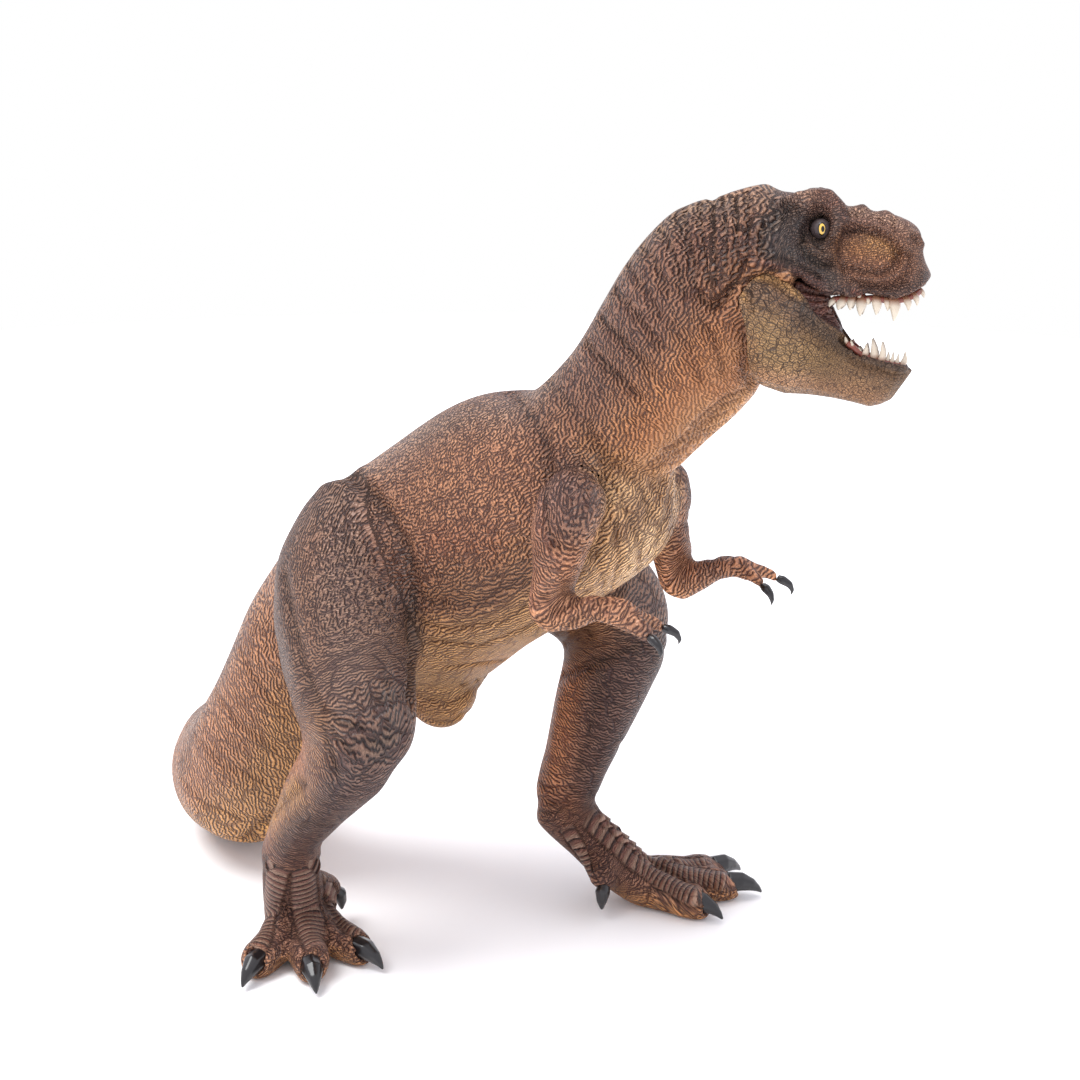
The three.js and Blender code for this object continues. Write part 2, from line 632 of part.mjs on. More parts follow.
// Tooth rows: the row's plan in shares of the head, and each tooth's place and length along it
const upperRowShares = [
  [0.4, 0.56, 0.11], [0.5, 0.56, 0.11], [0.62, 0.55, 0.065], [0.74, 0.52, 0.045],
  [0.84, 0.45, 0.07], [0.91, 0.34, 0.11], [0.945, 0.18, 0.13], [0.95, 0, 0.135],
];
const upperToothShares = [
  [0.05, 0.6], [0.16, 0.8], [0.28, 0.95], [0.4, 1], [0.52, 0.9], [0.63, 1.15], [0.73, 0.8],
  [0.82, 0.7], [0.905, 0.65],
  [0.975, 0.6],
];
const lowerRowShares = [
  [0.5, 0.475, 0.09], [0.56, 0.44, 0.05], [0.65, 0.4, 0.005], [0.76, 0.36, 0.01],
  [0.86, 0.3, 0.05], [0.925, 0.2, 0.085], [0.95, 0.1, 0.1], [0.955, 0, 0.1],
];
const lowerToothShares = [
  [0.05, 0.45], [0.15, 0.55], [0.26, 0.7], [0.38, 0.9], [0.5, 1.05], [0.62, 0.95], [0.72, 0.65], [0.81, 0.6],
  [0.89, 0.65], [0.965, 0.65],
];

// Half a row's points, its mirror image and the curve through both
function rowCurve(rows, along, across, high, shift) {
  const side = rows.map(([x, y, z]) => new THREE.Vector3(x * along, y * across, z * high + shift));
  const other = side.slice(0, -1).reverse().map((p) => new THREE.Vector3(p.x, -p.y, p.z));
  return new THREE.CatmullRomCurve3([...side, ...other], false, 'catmullrom', 0.5);
}

function gumLoft(curve, grow = 0) {
  const count = 12;
  const stations = [];
  for (let i = 0; i <= count; i += 1) {
    stations.push({
      at: curve.getPoint(i / count),
      half: new THREE.Vector3(gumThickness / 2, gumHeight / 2, gumHeight / 2),
    });
  }
  return loft(stations, { sides: 6, steps: 1, corner: 3, grow });
}

// The open groove that a gum sits in, cut from its own place out through the lip
function gumGroove(rows, along, across, high, shift, sign) {
  const levels = [shift, shift + sign * gumHeight];
  const curves = levels.map((level) => rowCurve(rows, along, across, high, level));
  return joined(curves.map((curve) => gumLoft(curve, clearance)));
}

// One curved tooth on the row, pointing up or down
function toothLoft(curve, share, size, sign) {
  const half = share / 2;
  const foot = curve.getPoint(half);
  const away = curve.getTangent(half);
  const length = toothReach * size;
  const girth = toothGirth * Math.sqrt(size);
  const profile = [[-0.1, 1, 0], [0.5, 0.8, 0.03], [1, 0.15, 0.25]];
  const stations = profile.map(([far, width, lag]) => ({
    at: foot.clone().addScaledVector(zAxis, sign * (gumHeight / 2 + far * length))
      .addScaledVector(xAxis, -lag * girth * 2),
    half: new THREE.Vector3(width, width, width).multiplyScalar(girth),
  }));
  const front = away.clone().setZ(0).normalize();
  return loft(stations, { sides: 4, steps: 1, front });
}

function toothRow(curve, toothShares, sign) {
  const near = toothShares.map(([place, size]) => toothLoft(curve, place, size, sign));
  const far = toothShares.map(([place, size]) => toothLoft(curve, 2 - place, size, sign));
  return joined([gumLoft(curve), ...near, ...far]);
}

const upperRow = [upperRowShares, muzzleReach, cheekHalfWidth, skullDepth, gumHeight / 4];
const lowerRow = [lowerRowShares, jawReach, jawHalfWidth, jawDepth, -gumHeight / 4];
const upperCurve = rowCurve(...upperRow);
const lowerCurve = rowCurve(...lowerRow);

// Lower jaw, in its closed frame: distance, top, bottom and half width
const jawShares = [
  [-0.24, 0.45, -0.62, 0.94],
  [-0.1, 0.45, -0.72, 1],
  [0.02, 0.45, -0.84, 1],
  [0.12, 0.45, -0.98, 0.98],
  [0.2, 0.45, -1.02, 0.93],
  [0.28, 0.45, -0.98, 0.83],
  [0.37, 0.45, -0.89, 0.69],
  [0.48, 0.45, -0.81, 0.56],
  [0.62, 0.4, -0.71, 0.48],
  [0.76, 0.4, -0.63, 0.445],
  [0.88, 0.4, -0.58, 0.39],
  [0.96, 0.3, -0.49, 0.29],
  [1.01, 0.15, -0.36, 0.12],
];
const lobeArc = { from: THREE.MathUtils.degToRad(205), to: THREE.MathUtils.degToRad(55) };
// Side outline of the jaw past the round lobe: the lip, the chin and the back edge
const jawLipShares = [
  [0.17, 0.265], [0.26, 0.17], [0.36, 0.13], [0.48, 0.125], [0.56, 0.06], [0.64, 0], [0.76, 0.005], [0.88, 0.06],
  [0.96, 0.11], [1.02, 0.1],
];
const jawBackShares = [[0.16, -1.05], [0.1, -0.9], [0, -0.58], [-0.08, -0.36]];
// Hollow of the mouth floor and throat: distance, depth and half width
const cavityShares = [
  [-0.4, -1.4, 0.8], [-0.2, -1.4, 0.8], [0.06, -1.3, 0.8], [0.16, -0.84, 0.78], [0.26, -0.7, 0.69],
  [0.36, -0.62, 0.54], [0.5, -0.52, 0.39], [0.64, -0.42, 0.32], [0.78, -0.32, 0.27], [0.87, -0.2, 0.2],
  [0.91, -0.1, 0.08],
];

function jawOutline(grow, detail) {
  const lip = smoothLine(
    jawLipShares.map(([x, z]) => new THREE.Vector2(x * jawReach, z * jawDepth + grow)), 9 * detail);
  const chin = [
    new THREE.Vector2((1.1 * jawReach) + grow, 0),
    new THREE.Vector2((1.1 * jawReach) + grow, -1.3 * jawDepth),
  ];
  const back = smoothLine(
    jawBackShares.map(([x, z]) => new THREE.Vector2(x * jawReach - grow, z * jawDepth)), 3 * detail);
  const radius = lobeRadius + grow;
  const lobe = [];
  const arcs = 6 * detail;
  for (let i = 0; i <= arcs; i += 1) {
    const angle = THREE.MathUtils.lerp(lobeArc.from, lobeArc.to, i / arcs);
    lobe.push(new THREE.Vector2(radius * Math.cos(angle), radius * Math.sin(angle)));
  }
  return acrossHead([...lobe, ...lip, ...chin, ...back].reverse(), 1.5 * jawHalfWidth);
}

function jawOuter(grow, sides) {
  const stations = jawShares.map(([x, top, bottom, half]) => ({
    at: new THREE.Vector3(x * jawReach, 0, ((top + bottom) / 2) * jawDepth),
    half: new THREE.Vector3(
      half * jawHalfWidth, ((top - bottom) / 2) * jawDepth, ((top - bottom) / 2) * jawDepth,
    ),
  }));
  return loftGeometry(stations, { sides, steps: 1, corner: 3, grow });
}

function jawCavity(grow, sides) {
  const top = 1.5 * jawDepth;
  const stations = cavityShares.map(([x, bottom, half]) => ({
    at: new THREE.Vector3(x * jawReach, 0, 0),
    half: new THREE.Vector3(half * jawHalfWidth, top, -bottom * jawDepth),
  }));
  return loftGeometry(stations, { sides, steps: 1, corner: 3.4, grow });
}

// The jaw's walls, grown for a running gap and placed in a given frame
function jawSolid(grow = 0, matrix = new THREE.Matrix4(), detail = 2) {
  const placed = (geometry) => solidOf(geometry.clone().applyMatrix4(matrix));
  const sides = 4 + 6 * detail;
  return placed(jawOuter(grow, sides)).intersect(placed(jawOutline(grow, detail)))
    .subtract(placed(jawCavity(-grow, 4 + 4 * detail)));
}

// Tongue, lying in the hollow of the jaw
const tongueShares = [
  [0.42, -0.46, 0.18, 0.28], [0.56, -0.34, 0.18, 0.25], [0.7, -0.24, 0.16, 0.21], [0.79, -0.18, 0.1, 0.12],
];
const tongueLoft = (grow = 0) => loftGeometry(tongueShares.map(([x, z, rise, half]) => ({
  at: new THREE.Vector3(x * jawReach, 0, z * jawDepth),
  half: new THREE.Vector3(half * jawHalfWidth, rise * jawDepth, 2 * rise * jawDepth),
})), { sides: 12, steps: 1, corner: 2.2, dome: 0.6, grow });

// The space that a jaw piece sweeps between the jaw's open and closed ends
function jawSweep(frame, shapeIn) {
  const turns = 2;
  const solids = [];
  for (let i = 0; i <= turns; i += 1) {
    const angle = gape - (closeStroke * i) / turns;
    solids.push(shapeIn(frame.clone().multiply(jawTurned(angle))));
  }
  return joined(solids);
}
const jawWalls = (matrix) => jawSolid(runningGap, matrix, 1);
const tongueSpace = (matrix) => solidOf(tongueLoft(runningGap).applyMatrix4(matrix));

// Throat core between the jaw's walls, which the hinge pin passes through
const coreFrontShare = 0.12;
const corePlane = new THREE.Vector3(coreFrontShare * muzzleReach, 0, 0);
const nape = new THREE.Vector3(-0.38 * muzzleReach, 0, 0);

const sweepInHead = jawSweep(new THREE.Matrix4(), jawWalls).add(jawSweep(new THREE.Matrix4(), tongueSpace));
const sweepInWorld = jawSweep(headFrame, jawWalls);

// Parts of the trunk
const trunk = trunkWhole();
const neckTube = neckWhole();
const pastNeckSeam = (offset) => beyond(neckSeam.point, neckSeam.normal, offset);
const pastTailSeam = (offset) => beyond(tailSeam.point, tailSeam.normal, offset);

const neckPeg = (grow = 0) => bar(
  neckSeam.point.clone().addScaledVector(neckSeam.normal, -(pegDepth + grow)),
  neckSeam.point.clone().addScaledVector(neckSeam.normal, pegDepth), neckPegRadius + grow);
const tailPeg = (grow = 0) => bar(
  tailSeam.point.clone().addScaledVector(tailSeam.normal, -(pegDepth + grow)),
  tailSeam.point.clone().addScaledVector(tailSeam.normal, pegDepth), tailPegRadius + grow);

const torsoForm = joined([
  trunk.subtract(pastTailSeam(-clearance / 2)),
  neckTube.subtract(pastNeckSeam(-clearance / 2)),
]);
const torso = without(torsoForm, [
  neckPeg(clearance), tailPeg(clearance), ...legs.map((leg) => legPeg(leg, clearance)),
  ...arms.map((arm) => armPeg(arm, clearance)),
]);
const trunkCut = trunkWhole(clearance);
const neckCut = neckWhole(clearance);

const tail = trunk.intersect(pastTailSeam(clearance / 2)).subtract(belowFloor).add(tailPeg());

// Skull with its brow, side panels, eye sockets, palate and the grooves that hold eyes and gums
const skullForm = joined([solidOf(skullLoft()), ...mirrored(browShares).map((ball) => headBall(ball))]);
const skullCutSolid = solidOf(skullLoft(clearance)).subtract(solidOf(underLip(clearance)));
const upperGum = gumGroove(...upperRow, -1);
const eyePlace = (flip) => new THREE.Vector3(
  eyeShares[0] * muzzleReach, flip * eyeShares[1] * cheekHalfWidth, eyeShares[2] * skullDepth);
const eyeBall = (flip, grow = 0) => ellipsoid(
  eyePlace(flip), new THREE.Vector3(eyeRadius, eyeRadius, eyeRadius), grow);
const headPeg = (grow = 0) => bar(
  new THREE.Vector3(nape.x - (smallPegDepth + grow), 0, skullDepth / 2),
  new THREE.Vector3(nape.x + pegDepth, 0, skullDepth / 2), headPegRadius + grow);
const behindNape = (offset) => beyond(nape, xAxis.clone().negate(), offset);
const head = mainBody(without(skullForm, [
  solidOf(underLip()), ...mirrored([panelShares]).map((ball) => headBall(ball)),
  ...mirrored([socketShares]).map((ball) => headBall(ball)), palate, upperGum,
  eyeBall(1, clearance), eyeBall(-1, clearance), behindNape(0),
])).add(headPeg());

const pin = (grow = 0) => bar(
  new THREE.Vector3(0, -(0.8 * jawHalfWidth + pinSeat + grow), 0),
  new THREE.Vector3(0, 0.8 * jawHalfWidth + pinSeat + grow, 0), pinRadius + grow);

// Neck: cut by the skull, by the swept jaw and by the mouth lining's seat
const worldOf = (geometry) => solidOf(geometry.clone().applyMatrix4(headFrame));
const inHeadSolid = (solid) => worldOf(geometryOf(solid));
const neckInWorld = neckTube.intersect(pastNeckSeam(clearance / 2));
const skullInWorld = worldOf(skullLoft(clearance)).subtract(worldOf(underLip(clearance)));
const browInWorld = inHeadSolid(joined(mirrored(browShares).map((ball) => headBall(ball, clearance))));
const aheadOfNape = inHeadSolid(beyond(nape, xAxis, -clearance));
const aheadOfCore = inHeadSolid(beyond(corePlane, xAxis, 0));
const neck = mainBody(without(neckInWorld, [
  skullInWorld.intersect(aheadOfNape), browInWorld, aheadOfCore, sweepInWorld,
  inHeadSolid(headPeg(clearance)),
  inHeadSolid(pin(clearance)), trunkCut,
])).add(neckPeg());

// Mouth lining: the back wall of the mouth, hollowed towards the throat
const liningShares = [
  [0.13, -0.12, 0.4, 0.74], [0.2, -0.12, 0.38, 0.7], [0.28, -0.1, 0.34, 0.6], [0.35, -0.05, 0.22, 0.5],
];
const liningForm = loft(liningShares.map(([x, z, rise, half]) => ({
  at: new THREE.Vector3(x * muzzleReach + clearance, 0, z * skullDepth),
  half: new THREE.Vector3(half * jawHalfWidth, rise * skullDepth, rise * skullDepth),
})), { sides: 18, steps: 1, corner: 3 });
const throatHollow = headBall({ at: [0.42, 0, -0.04], half: [0.22, 0.42, 0.2] });
const core = beyond(corePlane, xAxis.clone().negate(), -clearance);
const lining = mainBody(without(liningForm, [skullCutSolid, sweepInHead, throatHollow, core]));

// Jaw pieces
const lowerGum = gumGroove(...lowerRow, 1);
const lowerJaw = mainBody(without(jawSolid(), [lowerGum, pin(clearance)]));
const tongue = mainBody(solidOf(tongueLoft()).intersect(solidOf(jawCavity(-clearance, 12))));

// The figure
const figure = new THREE.Group();
figure.add(meshOf('torso', mainBody(torso), hide), meshOf('tail', mainBody(tail), hide));
figure.add(meshOf('neck', neck, neckHide));

for (const leg of legs) {
  const foot = without(footWhole(leg), [
    belowFloor, ...leg.toes.map((toe) => toeClaw(leg, toe, clearance)), halluxClaw(leg, clearance),
  ]);
  figure.add(meshOf(`${leg.side}_foot`, mainBody(foot).add(anklePeg(leg)), footHide));
  const limb = without(thighAndShank(leg), [
    trunkCut, footWhole(leg, clearance), anklePeg(leg, clearance),
  ]);
  figure.add(meshOf(`${leg.side}_leg`, mainBody(mainBody(limb).add(legPeg(leg))), hide));
  for (const toe of leg.toes) {
    figure.add(meshOf(`${leg.side}_${toe.name}_toe_claw`, toeClaw(leg, toe).subtract(belowFloor), claw));
  }
  figure.add(meshOf(`${leg.side}_heel_claw`, halluxClaw(leg), claw));
}

for (const arm of arms) {
  const limb = without(armWhole(arm), [trunkCut, neckCut]);
  const handed = without(joined([mainBody(limb), ...fingers.map((finger) => fingerLoft(arm, finger))]),
    fingers.map((finger) => fingerClaw(arm, finger, clearance)));
  figure.add(meshOf(`${arm.side}_arm`, mainBody(handed.add(armPeg(arm))), hide));
  for (const finger of fingers) {
    figure.add(meshOf(`${arm.side}_${finger.name}_finger_claw`, fingerClaw(arm, finger), claw));
  }
}

headGroup.add(meshOf('head', head, faceHide), meshOf('mouth_lining', lining, mouthSkin));
headGroup.add(meshOf('upper_teeth', toothRow(upperCurve, upperToothShares, -1), tooth));
headGroup.add(meshOf('right_eye', eyeBall(-1), eyeGloss), meshOf('left_eye', eyeBall(1), eyeGloss));
headGroup.add(meshOf('jaw_pin', pin(), steel));
jawGroup.add(meshOf('lower_jaw', lowerJaw, jawHide), meshOf('tongue', tongue, mouthSkin));
jawGroup.add(meshOf('lower_teeth', toothRow(lowerCurve, lowerToothShares, 1), tooth));
headGroup.add(jawGroup);
figure.add(headGroup);

// The origin goes to the middle of the figure's footprint, on the floor
figure.updateMatrixWorld(true);
const box = new THREE.Box3().setFromObject(figure, true);
figure.position.set(-(box.min.x + box.max.x) / 2, -(box.min.y + box.max.y) / 2, -box.min.z);

export default figure;
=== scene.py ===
import json
import math

import bpy
import numpy as np
from mathutils import Matrix, Vector
from mathutils.bvhtree import BVHTree


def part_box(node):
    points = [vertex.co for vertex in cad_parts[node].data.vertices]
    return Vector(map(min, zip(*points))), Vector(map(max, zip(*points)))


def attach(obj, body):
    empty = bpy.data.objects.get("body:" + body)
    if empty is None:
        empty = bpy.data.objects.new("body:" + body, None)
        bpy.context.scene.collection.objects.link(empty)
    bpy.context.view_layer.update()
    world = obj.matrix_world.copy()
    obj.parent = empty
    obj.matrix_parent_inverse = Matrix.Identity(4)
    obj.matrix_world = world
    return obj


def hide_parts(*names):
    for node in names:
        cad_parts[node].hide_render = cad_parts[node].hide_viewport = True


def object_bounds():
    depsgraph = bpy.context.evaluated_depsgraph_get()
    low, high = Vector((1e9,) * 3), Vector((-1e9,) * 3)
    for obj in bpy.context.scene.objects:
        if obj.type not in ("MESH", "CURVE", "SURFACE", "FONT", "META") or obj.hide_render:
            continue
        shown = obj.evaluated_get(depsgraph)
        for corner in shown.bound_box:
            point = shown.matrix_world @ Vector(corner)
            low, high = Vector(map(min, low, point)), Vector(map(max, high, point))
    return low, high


# Toy dinosaur figure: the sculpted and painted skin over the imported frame.
# Lengths are millimetres until a piece is made. Places are in the stance frame: X the way the hips
# point, Y the animal's left, Z up, with its origin on the floor under the hip joint.
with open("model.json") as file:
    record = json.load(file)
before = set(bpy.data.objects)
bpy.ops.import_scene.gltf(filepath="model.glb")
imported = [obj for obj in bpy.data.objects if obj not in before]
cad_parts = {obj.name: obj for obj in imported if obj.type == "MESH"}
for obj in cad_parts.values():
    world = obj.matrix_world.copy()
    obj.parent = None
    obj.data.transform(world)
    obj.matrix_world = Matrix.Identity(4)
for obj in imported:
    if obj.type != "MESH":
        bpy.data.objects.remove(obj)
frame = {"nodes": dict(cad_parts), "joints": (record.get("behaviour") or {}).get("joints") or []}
cad_low, cad_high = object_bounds()
metre = 1000.0

# Driving sizes
skin_grain = 0.6  # edge length of the skin's mesh
jaw_grain = 0.32
mouth_grain = 0.35
claw_grain = 0.2
eye_grain = 0.18
skin_growth = 0.25  # how far the pieces of the skin are grown so that they join
inner_growth = 0.05
seam_reach = 1.5  # folds and scales fade out this near to a seam
claw_shortening = 0.14
paint_level = np.array([0.93, 0.76, 0.65])  # the paint's strength under the studio's light
head_yaw = math.radians(28)
head_pitch = math.radians(3)
head_roll = math.radians(-9)
gape = math.radians(30)
scute_lengths = (2.3, 1.15)  # the feet's scales, at the ankle and at the toes
scute_height = 0.6
scute_step = 0.12  # how finely their column is sampled
toe_swell = 0.35
toe_groove = 0.25
face_relief = 1.5  # how much deeper the face's folds are than written
relief_height = 0.0007  # metres, the pattern's ridges over its cracks
gum_half_width = 0.55
wash_and_shade_warmth = np.array([0.85, 1.0, 1.1])  # the dark wash and the painted shade in creases take less red than blue
tooth_tones = ("b07f62", "eadcc6", "8e4a3a")  # root, tip and gum
tooth_level = 0.8
pupil_tone = (0.004, 0.004, 0.004, 1)
iris_tone = (0.78, 0.5, 0.1, 1)
iris_rim_tone = (0.006, 0.005, 0.005, 1)
lid_tone = (0.05, 0.034, 0.034, 1)

hinge = np.array(frame["joints"][0]["pos_m"]) * metre
stance = hinge - np.array([66.0, 2.0, 137.44])  # the stance frame's origin in the row frame
floor_low = np.array(cad_low) * metre - stance
floor_high = np.array(cad_high) * metre - stance
hinge_place = hinge - stance

# The photograph's camera
photo_side = 1080.0
view_azimuth = math.radians(39)
view_height = math.radians(17)
focal_pixels = 1888.0
origin_pixel = (482.0, 915.0)  # where the stance frame's origin shows
origin_distance = 400.0
back = np.array([
    math.sin(view_azimuth) * math.cos(view_height),
    -math.cos(view_azimuth) * math.cos(view_height),
    math.sin(view_height),
])
right = np.array([math.cos(view_azimuth), math.sin(view_azimuth), 0.0])
up = np.cross(back, right)
middle = photo_side / 2
eye_place = (
    origin_distance * back
    - (origin_pixel[0] - middle) / focal_pixels * origin_distance * right
    - (middle - origin_pixel[1]) / focal_pixels * origin_distance * up
)


def ray_through(pixel):
    """The direction from the camera through a pixel of the photograph."""
    across = (pixel[0] - middle) / focal_pixels
    above = (middle - pixel[1]) / focal_pixels
    return -back + across * right + above * up


def shown(places):
    """The pixels of the photograph at which these places show."""
    away = places - eye_place
    depth = -(away @ back)
    return np.stack([
        middle + focal_pixels * (away @ right) / depth, middle - focal_pixels * (away @ up) / depth], axis=1)


def placed(name, data):
    """A new object in the scene."""
    made = bpy.data.objects.new(name, data)
    bpy.context.scene.collection.objects.link(made)
    return made


def make_camera():
    data = bpy.data.cameras.new("photo_camera")
    data.sensor_fit = "HORIZONTAL"
    data.sensor_width = 36.0
    data.lens = focal_pixels / photo_side * data.sensor_width
    data.clip_start = 0.01
    camera = placed("photo_camera", data)
    turn = Matrix((right, up, back)).transposed().to_4x4()
    camera.matrix_world = Matrix.Translation((eye_place + stance) / metre) @ turn
    bpy.context.scene.camera = camera


# Colours
def tone(code):
    """A colour written as RRGGBB, in linear light."""
    parts = np.array([int(code[i:i + 2], 16) for i in (0, 2, 4)]) / 255.0
    return np.where(parts <= 0.04045, parts / 12.92, ((parts + 0.055) / 1.055) ** 2.4)


# Arithmetic on vertices
def ease(low, high, values):
    t = np.clip((values - low) / (high - low), 0.0, 1.0)
    return t * t * (3.0 - 2.0 * t)


def unit(vectors):
    return vectors / np.maximum(np.linalg.norm(vectors, axis=-1, keepdims=True), 1e-9)


def hashed(cells, seed):
    """A steady number from 0 to 1 for each whole-numbered cell."""
    mixed = cells[:, 0] * 374761393 + cells[:, 1] * 668265263 + cells[:, 2] * 2147483647 + seed * 144665
    mixed = (mixed ^ (mixed >> 13)) * 1274126177
    mixed = mixed ^ (mixed >> 16)
    return (mixed & 0xFFFFFF) / float(0xFFFFFF)


def noise(points, size, seed=0):
    """Smooth noise from -1 to 1, with blobs of about the given size."""
    scaled = points / size
    cell = np.floor(scaled).astype(np.int64)
    part = scaled - cell
    part = part * part * (3.0 - 2.0 * part)
    total = np.zeros(len(points))
    for corner in range(8):
        step = np.array([corner & 1, (corner >> 1) & 1, corner >> 2])
        weight = np.prod(np.where(step == 1, part, 1.0 - part), axis=1)
        total += weight * hashed(cell + step, seed)
    return 2.0 * total - 1.0


def rows_at(at, length, rows):
    """The rows of a table with three columns, read at these lengths."""
    return np.stack([np.interp(at, length, rows[:, axis]) for axis in range(3)], axis=1)


# Meshes as arrays: places (n, 3) and faces (m, 4)
def edges_of(faces):
    size = faces.shape[1]
    pairs = np.concatenate([faces[:, [k, (k + 1) % size]] for k in range(size)])
    low = pairs.min(axis=1).astype(np.int64)
    high = pairs.max(axis=1).astype(np.int64)
    code, counts = np.unique(low * (1 << 32) + high, return_counts=True)
    edges = np.stack([code >> 32, code & 0xFFFFFFFF], axis=1)
    return edges, counts


def normals_of(places, faces):
    corners = places[faces]
    if faces.shape[1] == 4:
        flat = np.cross(corners[:, 2] - corners[:, 0], corners[:, 3] - corners[:, 1])
    else:
        flat = np.cross(corners[:, 1] - corners[:, 0], corners[:, 2] - corners[:, 0])
    total = np.zeros_like(places)
    for k in range(faces.shape[1]):
        for axis in range(3):
            total[:, axis] += np.bincount(faces[:, k], weights=flat[:, axis], minlength=len(places))
    return unit(total)


def relaxed(places, edges, times, amount=0.5):
    """Each row drawn towards the mean of its neighbours'. amount is one number or one for each place."""
    count = len(places)
    degree = np.bincount(edges[:, 0], minlength=count) + np.bincount(edges[:, 1], minlength=count)
    share = (np.asarray(amount) / np.maximum(degree, 1)).reshape(-1, 1) * np.ones((count, 1))
    places = places.copy()
    for _ in range(times):
        total = np.zeros_like(places)
        for axis in range(places.shape[1]):
            total[:, axis] = np.bincount(edges[:, 0], weights=places[edges[:, 1], axis], minlength=count)
            total[:, axis] += np.bincount(edges[:, 1], weights=places[edges[:, 0], axis], minlength=count)
        places += share * (total - degree[:, None] * places)
    return places


def split_once(faces, *layers):
    """Every four-sided face cut into four. Layers are arrays with a row for each place."""
    pairs = np.concatenate([faces[:, [k, (k + 1) % 4]] for k in range(4)])
    code = pairs.min(axis=1).astype(np.int64) * (1 << 32) + pairs.max(axis=1)
    kinds, which = np.unique(code, return_inverse=True)
    first_middle = len(layers[0])
    first_centre = first_middle + len(kinds)
    side = (which.reshape(-1) + first_middle).reshape(4, len(faces))
    centre = np.arange(len(faces)) + first_centre
    quarters = [
        np.stack([faces[:, k], side[k], centre, side[(k + 3) % 4]], axis=1) for k in range(4)
    ]
    finer = []
    for layer in layers:
        middles = (layer[kinds >> 32] + layer[kinds & 0xFFFFFFFF]) / 2
        finer.append(np.concatenate([layer, middles, layer[faces].mean(axis=1)]))
    return np.concatenate(quarters), *finer


def part_of(places, faces, keep_face):
    kept = faces[keep_face]
    used, again = np.unique(kept, return_inverse=True)
    return places[used], again.reshape(kept.shape), used


def main_body(places, faces):
    """The connected body with the most places."""
    edges, _ = edges_of(faces)
    label = np.arange(len(places))
    while True:
        low = np.minimum(label[edges[:, 0]], label[edges[:, 1]])
        before = label.copy()
        np.minimum.at(label, edges[:, 0], low)
        np.minimum.at(label, edges[:, 1], low)
        label = label[label]
        if np.array_equal(label, before):
            break
    biggest = np.bincount(label).argmax()
    keep = label[faces[:, 0]] == biggest
    return part_of(places, faces, keep)[:2]


def to_mesh(name, places, faces):
    mesh = bpy.data.meshes.new(name)
    mesh.vertices.add(len(places))
    mesh.vertices.foreach_set("co", np.asarray(places, np.float32).ravel())
    size = faces.shape[1]
    mesh.loops.add(faces.size)
    mesh.loops.foreach_set("vertex_index", faces.astype(np.int32).ravel())
    mesh.polygons.add(len(faces))
    mesh.polygons.foreach_set("loop_start", np.arange(0, faces.size, size, dtype=np.int32))
    mesh.update(calc_edges=True)
    return mesh


def from_mesh(mesh):
    places = np.zeros(len(mesh.vertices) * 3)
    mesh.vertices.foreach_get("co", places)
    corners = np.zeros(len(mesh.loops), np.int32)
    mesh.loops.foreach_get("vertex_index", corners)
    size = 4 if len(mesh.loops) == 4 * len(mesh.polygons) else 3
    return places.reshape(-1, 3), corners.reshape(-1, size).astype(np.int64)


def cad_arrays(node):
    """A CAD node's places in the stance frame and its triangles, with shared corners merged."""
    places, faces = from_mesh(frame["nodes"][node].data)
    places = places * metre - stance
    _, first, which = np.unique(np.round(places, 3), axis=0, return_index=True, return_inverse=True)
    faces = which.reshape(-1)[faces]
    sound = (faces[:, 0] != faces[:, 1]) & (faces[:, 1] != faces[:, 2]) & (faces[:, 0] != faces[:, 2])
    return places[first], faces[sound]


def remeshed(nodes, grain, grow):
    """One even skin of four-sided faces round several CAD nodes, each grown a little so that they join."""
    all_places, all_faces, count = [], [], 0
    for node in nodes:
        places, faces = cad_arrays(node)
        all_places.append(places + grow * normals_of(places, faces))
        all_faces.append(faces + count)
        count += len(places)
    mesh = to_mesh("skin_source", np.concatenate(all_places), np.concatenate(all_faces))
    source = placed("skin_source", mesh)
    modifier = source.modifiers.new("remesh", "REMESH")
    modifier.mode = "VOXEL"
    modifier.voxel_size = grain
    shaped = source.evaluated_get(bpy.context.evaluated_depsgraph_get())
    places, faces = from_mesh(bpy.data.meshes.new_from_object(shaped))
    bpy.data.objects.remove(source)
    return main_body(places, faces)


def rounded(node, grain, grow, times):
    """The even skin of one CAD node, with its edges rounded."""
    places, faces = remeshed([node], grain, grow)
    edges, _ = edges_of(faces)
    return relaxed(places, edges, times), faces
